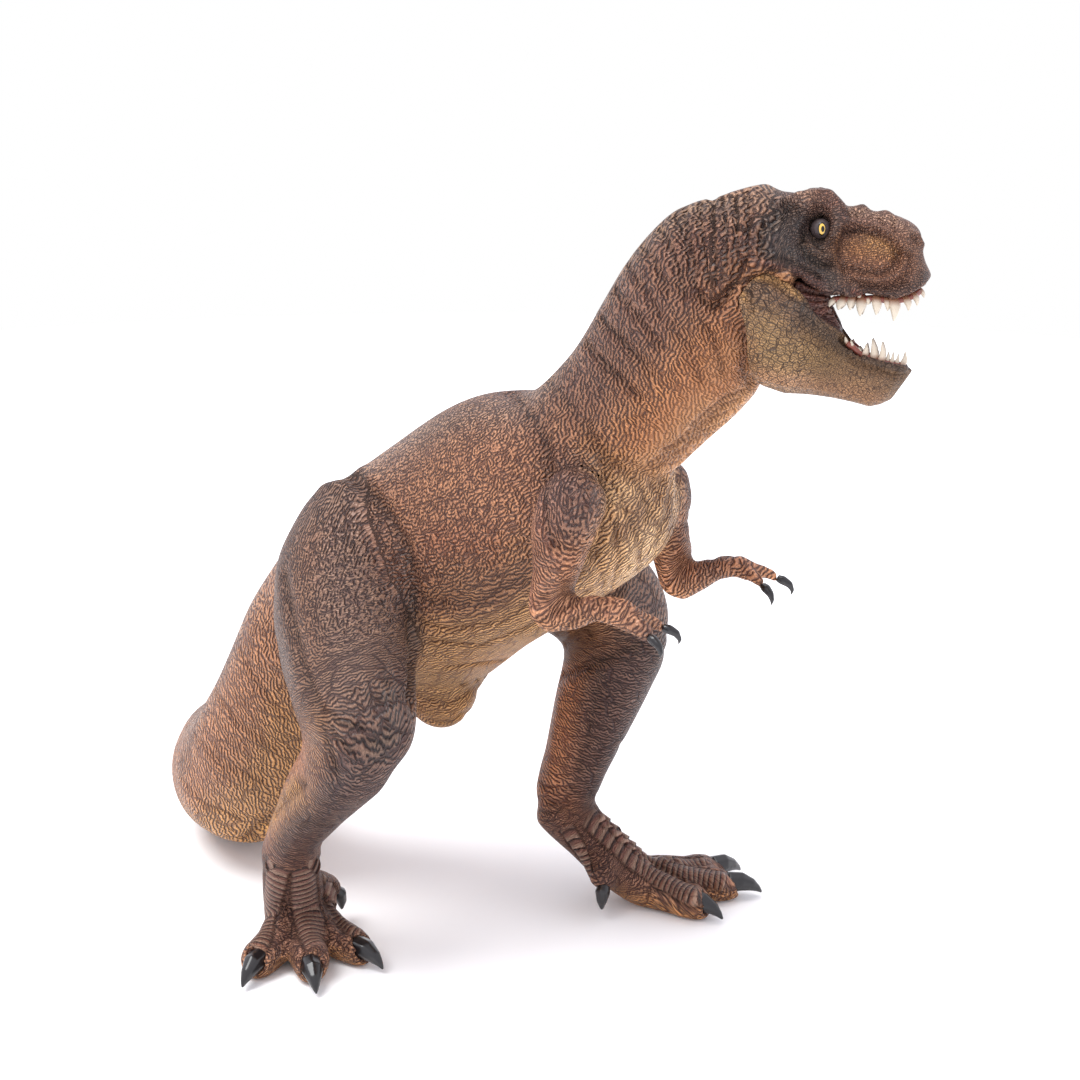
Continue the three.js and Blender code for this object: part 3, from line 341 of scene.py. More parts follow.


# Smooth lines through given points, and charts that follow them
class Line:
    """A curve with, at each sample, its place, the length so far, a sideways and a front direction."""

    def __init__(self, points, spacing=1.5):
        points = np.array(points, float)
        ends = np.concatenate([[2 * points[0] - points[1]], points, [2 * points[-1] - points[-2]]])
        samples = []
        for k in range(len(points) - 1):
            a, b, c, d = ends[k:k + 4]
            steps = max(2, int(np.linalg.norm(c - b) / spacing))
            for t in np.arange(steps) / steps:
                bend = 2 * a - 5 * b + 4 * c - d
                twist = 3 * b - a - 3 * c + d
                samples.append(0.5 * (2 * b + (c - a) * t + bend * t ** 2 + twist * t ** 3))
        samples.append(points[-1])
        self.places = np.array(samples)
        along = unit(np.gradient(self.places, axis=0))
        self.length = np.concatenate(
            [[0.0], np.cumsum(np.linalg.norm(np.diff(self.places, axis=0), axis=1))])
        leftward = np.array([0.0, 1.0, 0.0])
        self.side = unit(leftward - (along @ leftward)[:, None] * along)
        self.front = np.cross(along, self.side)

    def place(self, charted):
        """The places that have these charts."""
        along = charted[:, 0]
        centre = rows_at(along, self.length, self.places)
        side = rows_at(along, self.length, self.side)
        front = rows_at(along, self.length, self.front)
        return centre + charted[:, 1:2] * side + charted[:, 2:3] * front

    def chart(self, points):
        """Length along the line, place to the left of it and place on its front side."""
        out = np.zeros((len(points), 3))
        for start in range(0, len(points), 20000):
            part = points[start:start + 20000]
            gap = np.linalg.norm(part[:, None, :] - self.places[None, :, :], axis=2)
            weight = np.exp(-((gap - gap.min(axis=1, keepdims=True)) / 0.8))
            weight /= weight.sum(axis=1, keepdims=True)
            away = part - weight @ self.places
            out[start:start + 20000, 0] = weight @ self.length
            out[start:start + 20000, 1] = (away * (weight @ self.side)).sum(axis=1)
            out[start:start + 20000, 2] = (away * (weight @ self.front)).sum(axis=1)
        return out


spine = Line([
    (-137, 59, 3), (-128, 49, 4.5), (-115, 35, 7), (-98.5, 20.5, 10), (-83, 6, 13), (-70, -4.5, 16),
    (-60, -10, 20.5), (-52.5, -11, 29), (-45.5, -9, 40.5), (-39.5, -6, 53), (-32, -2, 63), (-23, 0, 70),
    (-12, 0, 76), (0, 0, 81.5), (13, 0, 88), (23, 0, 98), (31, 0, 109.5), (37.5, 0.5, 118), (43, 1, 125.5),
    (48.5, 1, 132.5), (55, 1.5, 138.5), (63, 2, 141.5), (72, 6, 143),
])
right_leg_line = Line([
    (-18, -19, 86), (-13, -25, 72), (-5, -31, 61), (3, -35.5, 55), (-2.5, -36, 46), (-11, -35.8, 36.5),
    (-17.5, -35.2, 28), (-20.5, -34.7, 22.5), (-22, -33.5, 15), (-23.5, -31, 8), (-24, -29.5, 3),
])
left_leg_line = Line([
    (-14, 19, 84), (-6, 26, 73), (4, 32, 66), (10, 35, 60), (10, 33.5, 52.5), (9, 28.5, 41.5),
    (7.5, 23, 29.5), (6.5, 19, 21.5), (12, 21, 14.5), (18, 24, 8), (22, 26, 4),
])
right_arm_line = Line([
    (36, -13, 104), (37, -18.5, 98), (36.5, -20, 90), (34.5, -21, 82), (39, -20.7, 81.5), (45, -20, 84),
    (50, -19, 83.5), (57, -18, 80),
])
left_arm_line = Line([
    (32, 12, 99), (32.5, 17, 92), (33.5, 19, 83), (34.5, 20, 76.5), (39, 20, 78), (43, 20.5, 81),
    (48, 20.5, 82.5), (55, 20.5, 79.5),
])
# Each limb's line, and that of the limb on the other side
limb_lines = {
    "right_leg": (right_leg_line, left_leg_line),
    "left_leg": (left_leg_line, right_leg_line),
    "right_arm": (right_arm_line, left_arm_line),
    "left_arm": (left_arm_line, right_arm_line),
}
mirror = np.array([1, -1, 1])


# Body pieces
skin_nodes = [
    "torso", "tail", "neck", "head",
    "right_leg", "left_leg", "right_foot", "left_foot", "right_arm", "left_arm",
]


def nearest_nodes(points, nodes):
    """For each point, the number of the CAD node whose surface is nearest."""
    all_places, all_faces, owner, count = [], [], [], 0
    for number, node in enumerate(nodes):
        places, faces = cad_arrays(node)
        all_places.append(places)
        all_faces.append(faces + count)
        owner += [number] * len(faces)
        count += len(places)
    tree = BVHTree.FromPolygons(
        np.concatenate(all_places).tolist(), np.concatenate(all_faces).tolist(), all_triangles=True)
    return np.array([owner[tree.find_nearest(point)[2]] for point in points.tolist()])


def make_skin():
    """The hide of the whole figure: the lofts' edges melt away, least of all on hands, feet and head."""
    places, faces = remeshed(skin_nodes, skin_grain, skin_growth)
    names = np.array(skin_nodes)[nearest_nodes(places, skin_nodes)]
    edges, _ = edges_of(faces)
    softness = np.ones(len(places))
    local = to_head(places)
    softness -= 0.95 * ease(-12, -4, local[:, 0]) * ease(40, 30, np.linalg.norm(local, axis=1))
    on_leg = np.char.endswith(names, "_leg") | np.char.endswith(names, "_foot")
    softness[on_leg] = np.minimum(softness[on_leg], 0.05 + 0.95 * ease(40, 60, places[on_leg, 2]))
    softness[np.char.endswith(names, "_arm")] = 0.04
    softness = relaxed(softness[:, None], edges, 6)[:, 0]
    places = relaxed(places, edges, 130, 0.6 * np.clip(softness, 0, 1))
    return relaxed(places, edges, 4), faces, names


head_turn = np.array(
    Matrix.Rotation(head_yaw, 3, "Z")
    @ Matrix.Rotation(-head_pitch, 3, "Y")
    @ Matrix.Rotation(head_roll, 3, "X")
)
jaw_turn = head_turn @ np.array(Matrix.Rotation(gape, 3, "Y"))


def to_head(points):
    return (points - hinge_place) @ head_turn


def to_jaw(points):
    return (points - hinge_place) @ jaw_turn


def mirrored(points, to_local, turn):
    """Points of the head or the jaw on its other side."""
    return (to_local(points) * mirror) @ turn.T + hinge_place


def make_piece(name, places, faces, body, node, material, attributes=None):
    """A Blender object in the row frame that stands for a CAD node."""
    inside = np.clip(places, floor_low, floor_high)
    mesh = to_mesh(name, (inside + stance) / metre, faces)
    mesh.shade_smooth()
    for key, values in (attributes or {}).items():
        kind = "FLOAT_COLOR" if values.shape[1] == 4 else "FLOAT_VECTOR"
        layer = mesh.attributes.new(key, kind, "POINT")
        field = "color" if kind == "FLOAT_COLOR" else "vector"
        layer.data.foreach_set(field, values.astype(np.float32).ravel())
    mesh.materials.append(material)
    piece = placed(name, mesh)
    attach(piece, body)
    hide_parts(node)
    return piece


# Work on a skin: strokes set by where they show in the photograph
class Skin:
    """Places and faces, the name of the piece that each place belongs to, and paint.

    rim marks the places on a cut edge, calm is 0 there and 1 away from it, crease is the dark wash
    and painted shade to come, and scale holds how many foot scales have passed and the share of the column.
    """

    def __init__(self, places, faces, names):
        self.places, self.faces, self.names = places, faces, names
        self.rim = np.zeros(len(places), bool)
        self.calm = np.ones(len(places))
        self.crease = np.zeros(len(places))
        self.scale = np.zeros((len(places), 3))
        self.refresh()

    def refresh(self):
        self.normals = normals_of(self.places, self.faces)
        self.tree = BVHTree.FromPolygons(self.places.tolist(), self.faces.tolist())

    def part(self, name, finer=False):
        """The faces of one piece as a skin of its own, cut finer and still fitting its neighbours."""
        own = np.nonzero(self.names == name)[0]
        flags = np.zeros(len(self.places), int)
        flags[own] = 1
        kept = flags[self.faces].sum(axis=1) >= 3
        tied = (flags[self.faces].sum(axis=1) == 2) & (flags[self.faces[:, 0]] == 1)
        places, faces, used = part_of(self.places, self.faces, kept | tied)
        layers = [places, self.normals[used], self.chart[used], self.paint[used], self.weave[used]]
        if finer:
            faces, *layers = split_once(faces, *layers)
        piece = Skin(layers[0], faces, np.full(len(layers[0]), name))
        piece.chart, piece.paint, piece.weave = layers[2:]
        piece.outer_normals = unit(layers[1])
        edges, counts = edges_of(faces)
        rim = np.unique(edges[counts == 1])
        piece.rim[rim] = True
        if finer and len(rim):
            chosen, gap = piece.near(piece.places[rim], seam_reach)
            piece.calm[chosen] = ease(0.0, seam_reach, gap)
            piece.places = relaxed(piece.places, edges, 3, 0.6 * piece.calm)
            piece.refresh()
        return piece

    def struck(self, pixels):
        """Where the rays through a line of pixels first meet the skin, with samples between them."""
        pixels = np.array(pixels, float).reshape(-1, 2)
        samples = [pixels[0]]
        for a, b in zip(pixels[:-1], pixels[1:]):
            steps = max(1, int(np.linalg.norm(b - a) / 3.0))
            samples += [a + (b - a) * (k + 1) / steps for k in range(steps)]
        found = []
        for sample in samples:
            hit = self.tree.ray_cast(Vector(eye_place), Vector(ray_through(sample)).normalized())
            if hit[0] is not None:
                found.append(np.array(hit[0]))
        return np.array(found).reshape(-1, 3)

    def across(self, line):
        """The same line on the other side of the body, through the chart of the limb that it is on."""
        if not len(line):
            return line
        owner = self.names[self.nearest(line[len(line) // 2])]
        if owner == "lower_jaw":
            moved = mirrored(line, to_jaw, jaw_turn)
        elif owner in ("head", "mouth_lining"):
            moved = mirrored(line, to_head, head_turn)
        elif owner in ("torso", "neck", "tail"):
            moved = spine.place(spine.chart(line) * mirror)
        else:
            here, there = limb_lines[owner.replace("_foot", "_leg")]
            charted = here.chart(line) * mirror
            if not owner.endswith("_arm"):
                charted[:, 0] *= there.length[-1] / here.length[-1]
            moved = there.place(charted)
        return np.array([self.tree.find_nearest(Vector(place))[0][:] for place in moved])

    def nearest(self, place):
        corners = self.faces[self.tree.find_nearest(Vector(place))[2]]
        return corners[0]

    def near(self, line, reach):
        """The numbers of the places within reach of a line of points, and their distances from it."""
        if not len(line):
            return np.zeros(0, int), np.zeros(0)
        low, high = line.min(axis=0) - reach, line.max(axis=0) + reach
        close = np.nonzero(np.all((self.places > low) & (self.places < high), axis=1))[0]
        best = np.full(len(close), 1e9)
        for start in range(0, len(line), 16):
            gap = np.linalg.norm(self.places[close][:, None, :] - line[None, start:start + 16], axis=2)
            best = np.minimum(best, gap.min(axis=1))
        kept = best < reach
        return close[kept], best[kept]

    def lines_of(self, pixels, both):
        line = self.struck(pixels)
        return [line, self.across(line)] if both else [line]

    def press(self, pixels, width, depth, both=True):
        """A crease of that depth along the line, or a swelling where depth is below nought."""
        for line in self.lines_of(pixels, both):
            chosen, gap = self.near(line, 2.5 * width)
            amount = depth * np.exp(-((gap / width) ** 2)) * self.calm[chosen]
            self.places[chosen] -= amount[:, None] * self.normals[chosen]
            # how much dark wash and painted shade the crease will take
            shade = np.exp(-((gap / min(0.7 * width, 0.9)) ** 2))
            shade *= min(max(depth, 0) / 0.6, 1) * min(1.0, 1.0 / width)
            self.crease[chosen] = np.maximum(self.crease[chosen], shade)

    def settle_dirt(self, share):
        """Dark wash, with painted shade, darkens the creases made so far."""
        self.paint *= (1 - share * self.crease)[:, None] ** wash_and_shade_warmth
        self.crease[:] = 0

    def brush(self, pixels, width, colour, strength, both=True):
        """Paint sprayed along the line."""
        for line in self.lines_of(pixels, both):
            chosen, gap = self.near(line, 2.2 * width)
            amount = (strength * np.exp(-((gap / width) ** 2)))[:, None]
            self.paint[chosen] += amount * (tone(colour) * paint_level - self.paint[chosen])

    def press_all(self, folds, both=True, share=1.0):
        for width, depth, *pixels in folds:
            self.press(pixels, width, share * depth, both)

    def brush_all(self, strokes):
        for colour, width, strength, *pixels in strokes:
            self.brush(pixels, width, colour, strength)

    def scutes(self, pixels, half_width, first):
        """A column of overlapping scales down the line, from long ones to short ones."""
        line = self.struck(pixels)
        if len(line) < 5:
            return
        steps = np.concatenate([[0.0], np.cumsum(np.linalg.norm(np.diff(line, axis=0), axis=1))])
        even = np.arange(0, steps[-1], scute_step)
        line = relaxed_line(rows_at(even, steps, line), 40)
        period = np.interp(even, [0.35 * steps[-1], 0.6 * steps[-1]], scute_lengths)
        passed = np.cumsum(scute_step / period) + first
        chosen, _ = self.near(line, half_width * 1.3)
        gap = np.full(len(chosen), 1e9)
        number = np.zeros(len(chosen), int)
        for k in range(len(line)):
            distance = np.linalg.norm(self.places[chosen] - line[k], axis=1)
            closer = distance < gap
            gap[closer] = distance[closer]
            number[closer] = k
        along = even[number]
        passed = passed[number] - 0.3 * (gap / half_width) ** 2
        ends = ease(0.0, 3.0, along) * ease(0.0, 1.2, steps[-1] - along)
        edge = ease(half_width * 1.12, half_width * 0.8, gap) * ends
        rise = passed % 1.0
        rise = rise * ease(1.0, 0.9, rise) * ease(1.2, 2.2, period[number])
        swell = ease(half_width * 1.15, 0.0, gap) * ends
        calm = self.calm[chosen]
        side_groove = np.exp(-(((gap - half_width * 1.08) / 0.35) ** 2)) * ends * calm
        lift = scute_height * (rise - 0.3) * edge * calm + toe_swell * swell * calm - toe_groove * side_groove
        self.places[chosen] += lift[:, None] * self.normals[chosen]
        # the groove beside each column takes dark wash and painted shade later
        self.crease[chosen] = np.maximum(self.crease[chosen], side_groove)
        nearer = edge > self.scale[chosen, 1]
        self.scale[chosen[nearer], 0] = passed[nearer]
        self.scale[chosen[nearer], 1] = edge[nearer]
        self.weave[chosen, 2] *= 1 - 0.7 * edge


def relaxed_line(line, times):
    line = line.copy()
    for _ in range(times):
        line[1:-1] += 0.5 * ((line[:-2] + line[2:]) / 2 - line[1:-1])
    return line


def layered(base, *coats):
    """Coats of a colour and its share at each place, one over another."""
    for colour, amount in coats:
        base = base + np.clip(amount, 0, 1)[:, None] * (tone(colour) - base)
    return base


def paint_trunk(skin):
    """Trunk, neck and tail, and the rear of the head, which goes on from the neck."""
    trunk = np.isin(skin.names, ["torso", "tail", "neck", "head"])
    p, n = skin.places[trunk], skin.normals[trunk]
    c = spine.chart(p)
    at = c[:, 0]
    dorsal = (n * rows_at(at, spine.length, spine.front)).sum(axis=1) + 0.18 * noise(p, 14.0, 5)
    hips = spine.chart(np.array([[0.0, 0.0, 81.5]]))[0, 0]
    neck_root = spine.chart(np.array([[31.0, 0.0, 109.5]]))[0, 0]
    in_tail = ease(hips - 25, hips - 50, at)
    in_neck = ease(neck_root - 3, neck_root + 12, at)
    skin.paint[trunk] = layered(
        np.tile(tone("986e59"), (len(p), 1)),
        # this coat and 847269 on the neck's top: grey-brown back paint that also carries a painted sheen from
        # above
        ("97827c", ease(0.3, 0.95, dorsal)),
        ("b88f6a", ease(0.05, -0.45, dorsal)),
        ("bc9970", ease(-0.35, -0.85, dorsal)),
        ("ae8167", in_tail * ease(0.95, 0.3, dorsal)),
        ("c09769", in_tail * ease(0.0, -0.6, dorsal)),
        ("6d483c", in_neck * ease(-0.2, 0.3, dorsal)),
        ("847269", in_neck * ease(0.45, 0.95, dorsal)),
        ("b7805a", in_neck * ease(-0.05, -0.5, dorsal)),
        ("b68f68", in_neck * ease(-0.35, -0.75, dorsal)),
    )
    skin.chart[trunk] = c
    skin.weave[trunk, 0] = np.clip(0.9 * in_tail + 0.7 * in_neck, 0, 1)
    skin.weave[trunk, 1] = ease(-0.2, -0.6, dorsal) * (1 - in_tail) * (1 - in_neck)
    skin.weave[trunk, 2] = 1.0 - 0.1 * ease(-0.2, -0.7, dorsal) * (1 - in_tail)
    skin.weave[trunk, 2] *= 1.0 - 0.6 * ease(-0.3, -0.65, dorsal) * in_neck


def paint_head(skin):
    """The front of the head, which is charted by itself."""
    head = skin.names == "head"
    local = to_head(skin.places[head])
    front = ease(0.5, 3.0, local[:, 0])
    between = (front > 0.3) & (front < 0.7)
    chart = 0.5 * skin.chart[head]
    shift = (chart - local)[between].mean(axis=0)
    skin.chart[head] = chart + front[:, None] * (local + shift - chart)
    skin.weave[head, 0] *= 1 - front
    skin.weave[head, 1] = 0.0
    skin.weave[head, 2] = 1.0 - 0.3 * front
    mask = ease(-1.0, 4.0, local[:, 0] + 0.2 * local[:, 2] - 1.0)
    face = layered(np.tile(tone("664d4b"), (head.sum(), 1)), ("8a6658", ease(15, 20, local[:, 0])))
    skin.paint[head] += mask[:, None] * (face - skin.paint[head])


def paint_leg(skin, side, line):
    """A leg with its foot."""
    leg = np.isin(skin.names, [side + "_leg", side + "_foot"])
    p, n = skin.places[leg], skin.normals[leg]
    c = line.chart(p)
    at = c[:, 0] / line.length[-1]
    shin = (n * rows_at(c[:, 0], line.length, line.front)).sum(axis=1) + 0.15 * noise(p, 10.0, 8)
    flare = (n * rows_at(c[:, 0], line.length, line.side)).sum(axis=1) * (1 if side == "left" else -1)
    skin.paint[leg] = layered(
        np.tile(tone("6d544f"), (len(p), 1)),
        ("9c7058", ease(0.2, -0.5, shin) * ease(0.25, 0.4, at)),
        ("b08767", ease(0.0, -0.8, flare) * ease(0.5, 0.3, at) * 0.8),
        ("5a3e3f", ease(0.34, 0.46, at) * ease(-0.1, 0.5, shin)),
        ("bf886b", ease(0.42, 0.52, at) * ease(0.1, -0.5, shin)),
        ("89655e", ease(0.74, 0.82, at)),
    )
    skin.chart[leg] = 1.2 * c
    skin.weave[leg, 0] = 0.85 * ease(0.2, 0.35, at) + 0.25
    skin.weave[leg, 2] = 1.0


def paint_arm(skin, side, line):
    arm = skin.names == side + "_arm"
    p = skin.places[arm]
    c = line.chart(p)
    # the far (left) arm is painted 1.2 times lighter: painted light against the shade it stands in
    skin.paint[arm] = (1.2 if side == "left" else 1.0) * layered(
        np.tile(tone("be8c77"), (len(p), 1)),
        ("785856", ease(14, 5, c[:, 0])),
        ("c09576", ease(0.2, -0.7, skin.normals[arm][:, 2])),
    )
    skin.chart[arm] = c
    skin.weave[arm, 0] = 0.9 * ease(6, 14, c[:, 0])
    skin.weave[arm, 2] = 0.9


def painted(skin):
    """The skin's paint before the strokes, and how its wrinkles run."""
    places, names = skin.places, skin.names
    skin.paint, skin.chart, skin.weave = [np.zeros((len(places), 3)) for _ in range(3)]
    paint_trunk(skin)
    paint_head(skin)
    for side in ("right", "left"):
        paint_leg(skin, side, limb_lines[side + "_leg"][0])
    low = ease(8, 3, places[:, 2]) * np.isin(names, ["right_foot", "left_foot"])
    sole = low * ease(0.25, -0.35, skin.normals[:, 2] + 0.2 * noise(places, 3.0, 9))
    skin.paint = layered(skin.paint, ("c8935c", sole))
    for side in ("right", "left"):
        paint_arm(skin, side, limb_lines[side + "_arm"][0])
    blotch = 1.0 + 0.10 * noise(places, 9.0, 21) + 0.07 * noise(places, 3.5, 22)
    skin.paint = skin.paint * blotch[:, None] * paint_level
    edges, _ = edges_of(skin.faces)
    for side in ("right", "left"):
        leg = np.isin(names, [side + "_leg", side + "_foot"])
        skin.chart[leg] = relaxed(skin.chart, edges[leg[edges].all(axis=1)], 60)[leg]
    skin.paint = relaxed(skin.paint, edges, 30)
    skin.weave = relaxed(skin.weave, edges, 20)


# Materials
class Wiring:
    """A new material, or the node tree of the world, and short ways to add nodes to it."""

    def __init__(self, name="", tree=None):
        if tree is None:
            self.material = bpy.data.materials.new(name)
            self.material.use_nodes = True
            tree = self.material.node_tree
            self.shader = tree.nodes["Principled BSDF"]
        self.tree = tree

    def finish(self, **values):
        """Values or sockets for the surface shader, by the names of its inputs with _ for a space."""
        for key, value in values.items():
            self.feed(self.shader.inputs[key.replace("_", " ")], value)
        return self.material

    def feed(self, socket, value):
        if isinstance(value, bpy.types.NodeSocket):
            self.tree.links.new(value, socket)
        else:
            socket.default_value = value

    def add(self, kind, settings=(), values=()):
        node = self.tree.nodes.new(kind)
        for key, value in dict(settings).items():
            setattr(node, key, value)
        for key, value in dict(values).items():
            socket = node.inputs[key] if isinstance(key, int) else next(
                item for item in node.inputs if item.identifier == key or item.name == key)
            self.feed(socket, value)
        return node

    def attribute(self, name, output):
        return self.add("ShaderNodeAttribute", {"attribute_name": name}).outputs[output]

    def math(self, operation, a, b=0.0, c=0.0):
        return self.add("ShaderNodeMath", {"operation": operation}, {0: a, 1: b, 2: c}).outputs[0]

    def times(self, a, b):
        return self.math("MULTIPLY", a, b)

    def minus(self, a, b):
        return self.math("SUBTRACT", a, b)

    def scaled_sum(self, a, factor, more):
        return self.math("MULTIPLY_ADD", a, factor, more)

    def split(self, vector):
        return self.add("ShaderNodeSeparateXYZ", (), {0: vector}).outputs

    def noise(self, points, scale, detail, output):
        values = {"Vector": points, "Scale": scale, "Detail": detail}
        return self.add("ShaderNodeTexNoise", (), values).outputs[output]

    def vector(self, operation, a, b=(0, 0, 0)):
        return self.add("ShaderNodeVectorMath", {"operation": operation}, {0: a, 1: b}).outputs[0]

    def blend(self, share, a, b):
        return self.add("ShaderNodeMix", {"data_type": "FLOAT"}, {0: share, 2: a, 3: b}).outputs[0]

    def tint(self, share, a, b, kind="MIX"):
        node = self.add("ShaderNodeMix", {"data_type": "RGBA", "blend_type": kind}, {0: share, 6: a, 7: b})
        return node.outputs[2]

    def step(self, value, low, high):
        settings = {"interpolation_type": "SMOOTHSTEP"}
        return self.add("ShaderNodeMapRange", settings, {0: value, 1: low, 2: high}).outputs[0]

    def cracks(self, points, size):
        """0 in the cracks between cells of the given size and up to about 0.6 inside them."""
        stretched = self.vector("MULTIPLY", points, tuple(1.0 / value for value in size))
        values = {"Vector": stretched, "Scale": 1.0}
        return self.add("ShaderNodeTexVoronoi", {"feature": "DISTANCE_TO_EDGE"}, values).outputs[0]


def plain(name, colour, roughness, coat=0.0, metallic=0.0):
    return Wiring(name).finish(
        Base_Color=(*tone(colour), 1), Roughness=roughness, Metallic=metallic,
        Coat_Weight=coat, Coat_Roughness=0.12)


# The hide's pattern, in linear light: what the paint is multiplied by, and colours laid over it
# the dark wash in the cracks, made deeper as painted shade
crack_wash_and_shade = (0.17, 0.1, 0.075, 1.0)
# the ridges lightened: dry-brush paint with a painted highlight on top
pale_lift = (1.7, 1.7, 1.35, 1.0)
ridge_drybrush_and_highlight = (0.6, 0.43, 0.26, 1.0)
# the foot scales: a painted highlight across each face, and dark joints deepened by a painted shadow under
# each edge
scute_highlight = (0.46, 0.31, 0.22, 1.0)
scute_joint_shadow = (0.02, 0.012, 0.01, 1.0)
# Length and width of its cracked cells: where it is plain, in rings round a limb, in folds along it
crack_cells = ((1.9, 2.3), (2.4, 8.0), (10.0, 2.4))


def hide_material(
        name, depth=1.0, roughness=0.46, cell=1.0, fine=0.5,
        wound_share=1.0, crack_share=0.5, grain_share=0.25, scaled=False):
    """Painted hide: winding wrinkles and cracked cells along the limb, dark wash with painted shade in them,
    pale dry-brushed ridges with a painted highlight.
    """
    w = Wiring(name)
    chart = w.attribute("chart", "Vector")
    paint = w.attribute("paint", "Color")
    across, lengthwise, strength = w.split(w.attribute("weave", "Vector"))
    wander = w.vector("SUBTRACT", w.noise(chart, 0.35 / cell, 1.0, "Color"), (0.5, 0.5, 0.5))
    swirl = w.add("ShaderNodeVectorMath", {"operation": "SCALE"}, {0: wander, "Scale": 1.1 * cell}).outputs[0]
    warped = w.vector("ADD", chart, swirl)

    heading = w.add("ShaderNodeCombineXYZ", (), {0: w.minus(1.0, lengthwise), 1: lengthwise}).outputs[0]
    order = w.scaled_sum(w.math("MAXIMUM", across, lengthwise), 0.45, 0.25)
    values = {"Vector": warped, "Scale": 0.6 / cell, "Frequency": 2.4}
    values.update({"Anisotropy": order, "Orientation 3D": heading})
    winding = w.add("ShaderNodeTexGabor", {"gabor_type": "3D"}, values).outputs["Phase"]
    wound = w.blend(wound_share, 1.0, w.times(w.math("PINGPONG", winding, 0.5), 2.0))
    cells, rings, folds = [
        w.cracks(warped, (cell * length, cell * width, cell * width))
        for length, width in crack_cells
    ]
    cut = w.blend(lengthwise, w.blend(across, cells, rings), folds)
    small = w.cracks(chart, (fine, fine * 1.6, fine * 1.6))
    patch = w.noise(chart, 0.4 / cell, 3.0, "Fac")

    uncut = w.scaled_sum(w.step(cut, 0.0, 0.06), crack_share, 1 - crack_share)
    crack = w.minus(1.0, w.times(w.step(wound, 0.03, 0.38), uncut))
    small_crack = w.minus(1.0, w.step(small, 0.0, 0.2))
    ridge = w.times(w.step(wound, 0.2, 0.75), w.step(cut, 0.0, 0.07))
    dark = w.tint(1.0, paint, crack_wash_and_shade, "MULTIPLY")
    # pale ridges: dry-brush paint with a painted highlight
    pale = w.tint(0.15, w.tint(1.0, paint, pale_lift, "MULTIPLY"), ridge_drybrush_and_highlight)
    ridge_share = w.times(ridge, w.scaled_sum(w.step(patch, 0.3, 0.7), 0.4, 0.5))
    colour = w.tint(w.times(ridge_share, strength), paint, pale)
    colour = w.tint(w.times(small_crack, w.times(strength, grain_share)), colour, dark)
    # wash here is the dark wash in the cracks together with painted shade
    wash = w.times(crack, w.scaled_sum(w.step(patch, 0.2, 0.55), 0.2, 0.75))
    colour = w.tint(w.math("MINIMUM", w.times(wash, strength), 1.0), colour, dark)
    relief = w.minus(w.times(ridge, 0.6), crack)
    relief = w.times(w.minus(relief, w.times(small_crack, 0.8 * grain_share)), strength)
    if scaled:
        passed, inside, _ = w.split(w.attribute("scale", "Vector"))
        passed = w.math("FRACT", passed)
        falling = w.step(passed, 0.86, 1.0)
        joint = w.math("MAXIMUM", w.step(passed, 0.32, 0.0), falling)
        lit = w.times(w.step(passed, 0.35, 0.75), w.step(passed, 0.92, 0.82))
        # a painted highlight on each scale's face and a painted shadow in its joint
        colour = w.tint(w.times(w.times(lit, inside), 0.6), colour, scute_highlight)
        colour = w.tint(w.times(w.times(joint, inside), 0.95), colour, scute_joint_shadow)
        relief = w.scaled_sum(w.times(w.minus(passed, falling), 2.2), inside, relief)
    bump = w.add("ShaderNodeBump", (), {"Height": relief, "Strength": 1.0, "Distance": relief_height * depth})
    return w.finish(
        Base_Color=colour, Normal=bump.outputs[0], Roughness=roughness, Specular_IOR_Level=0.5)


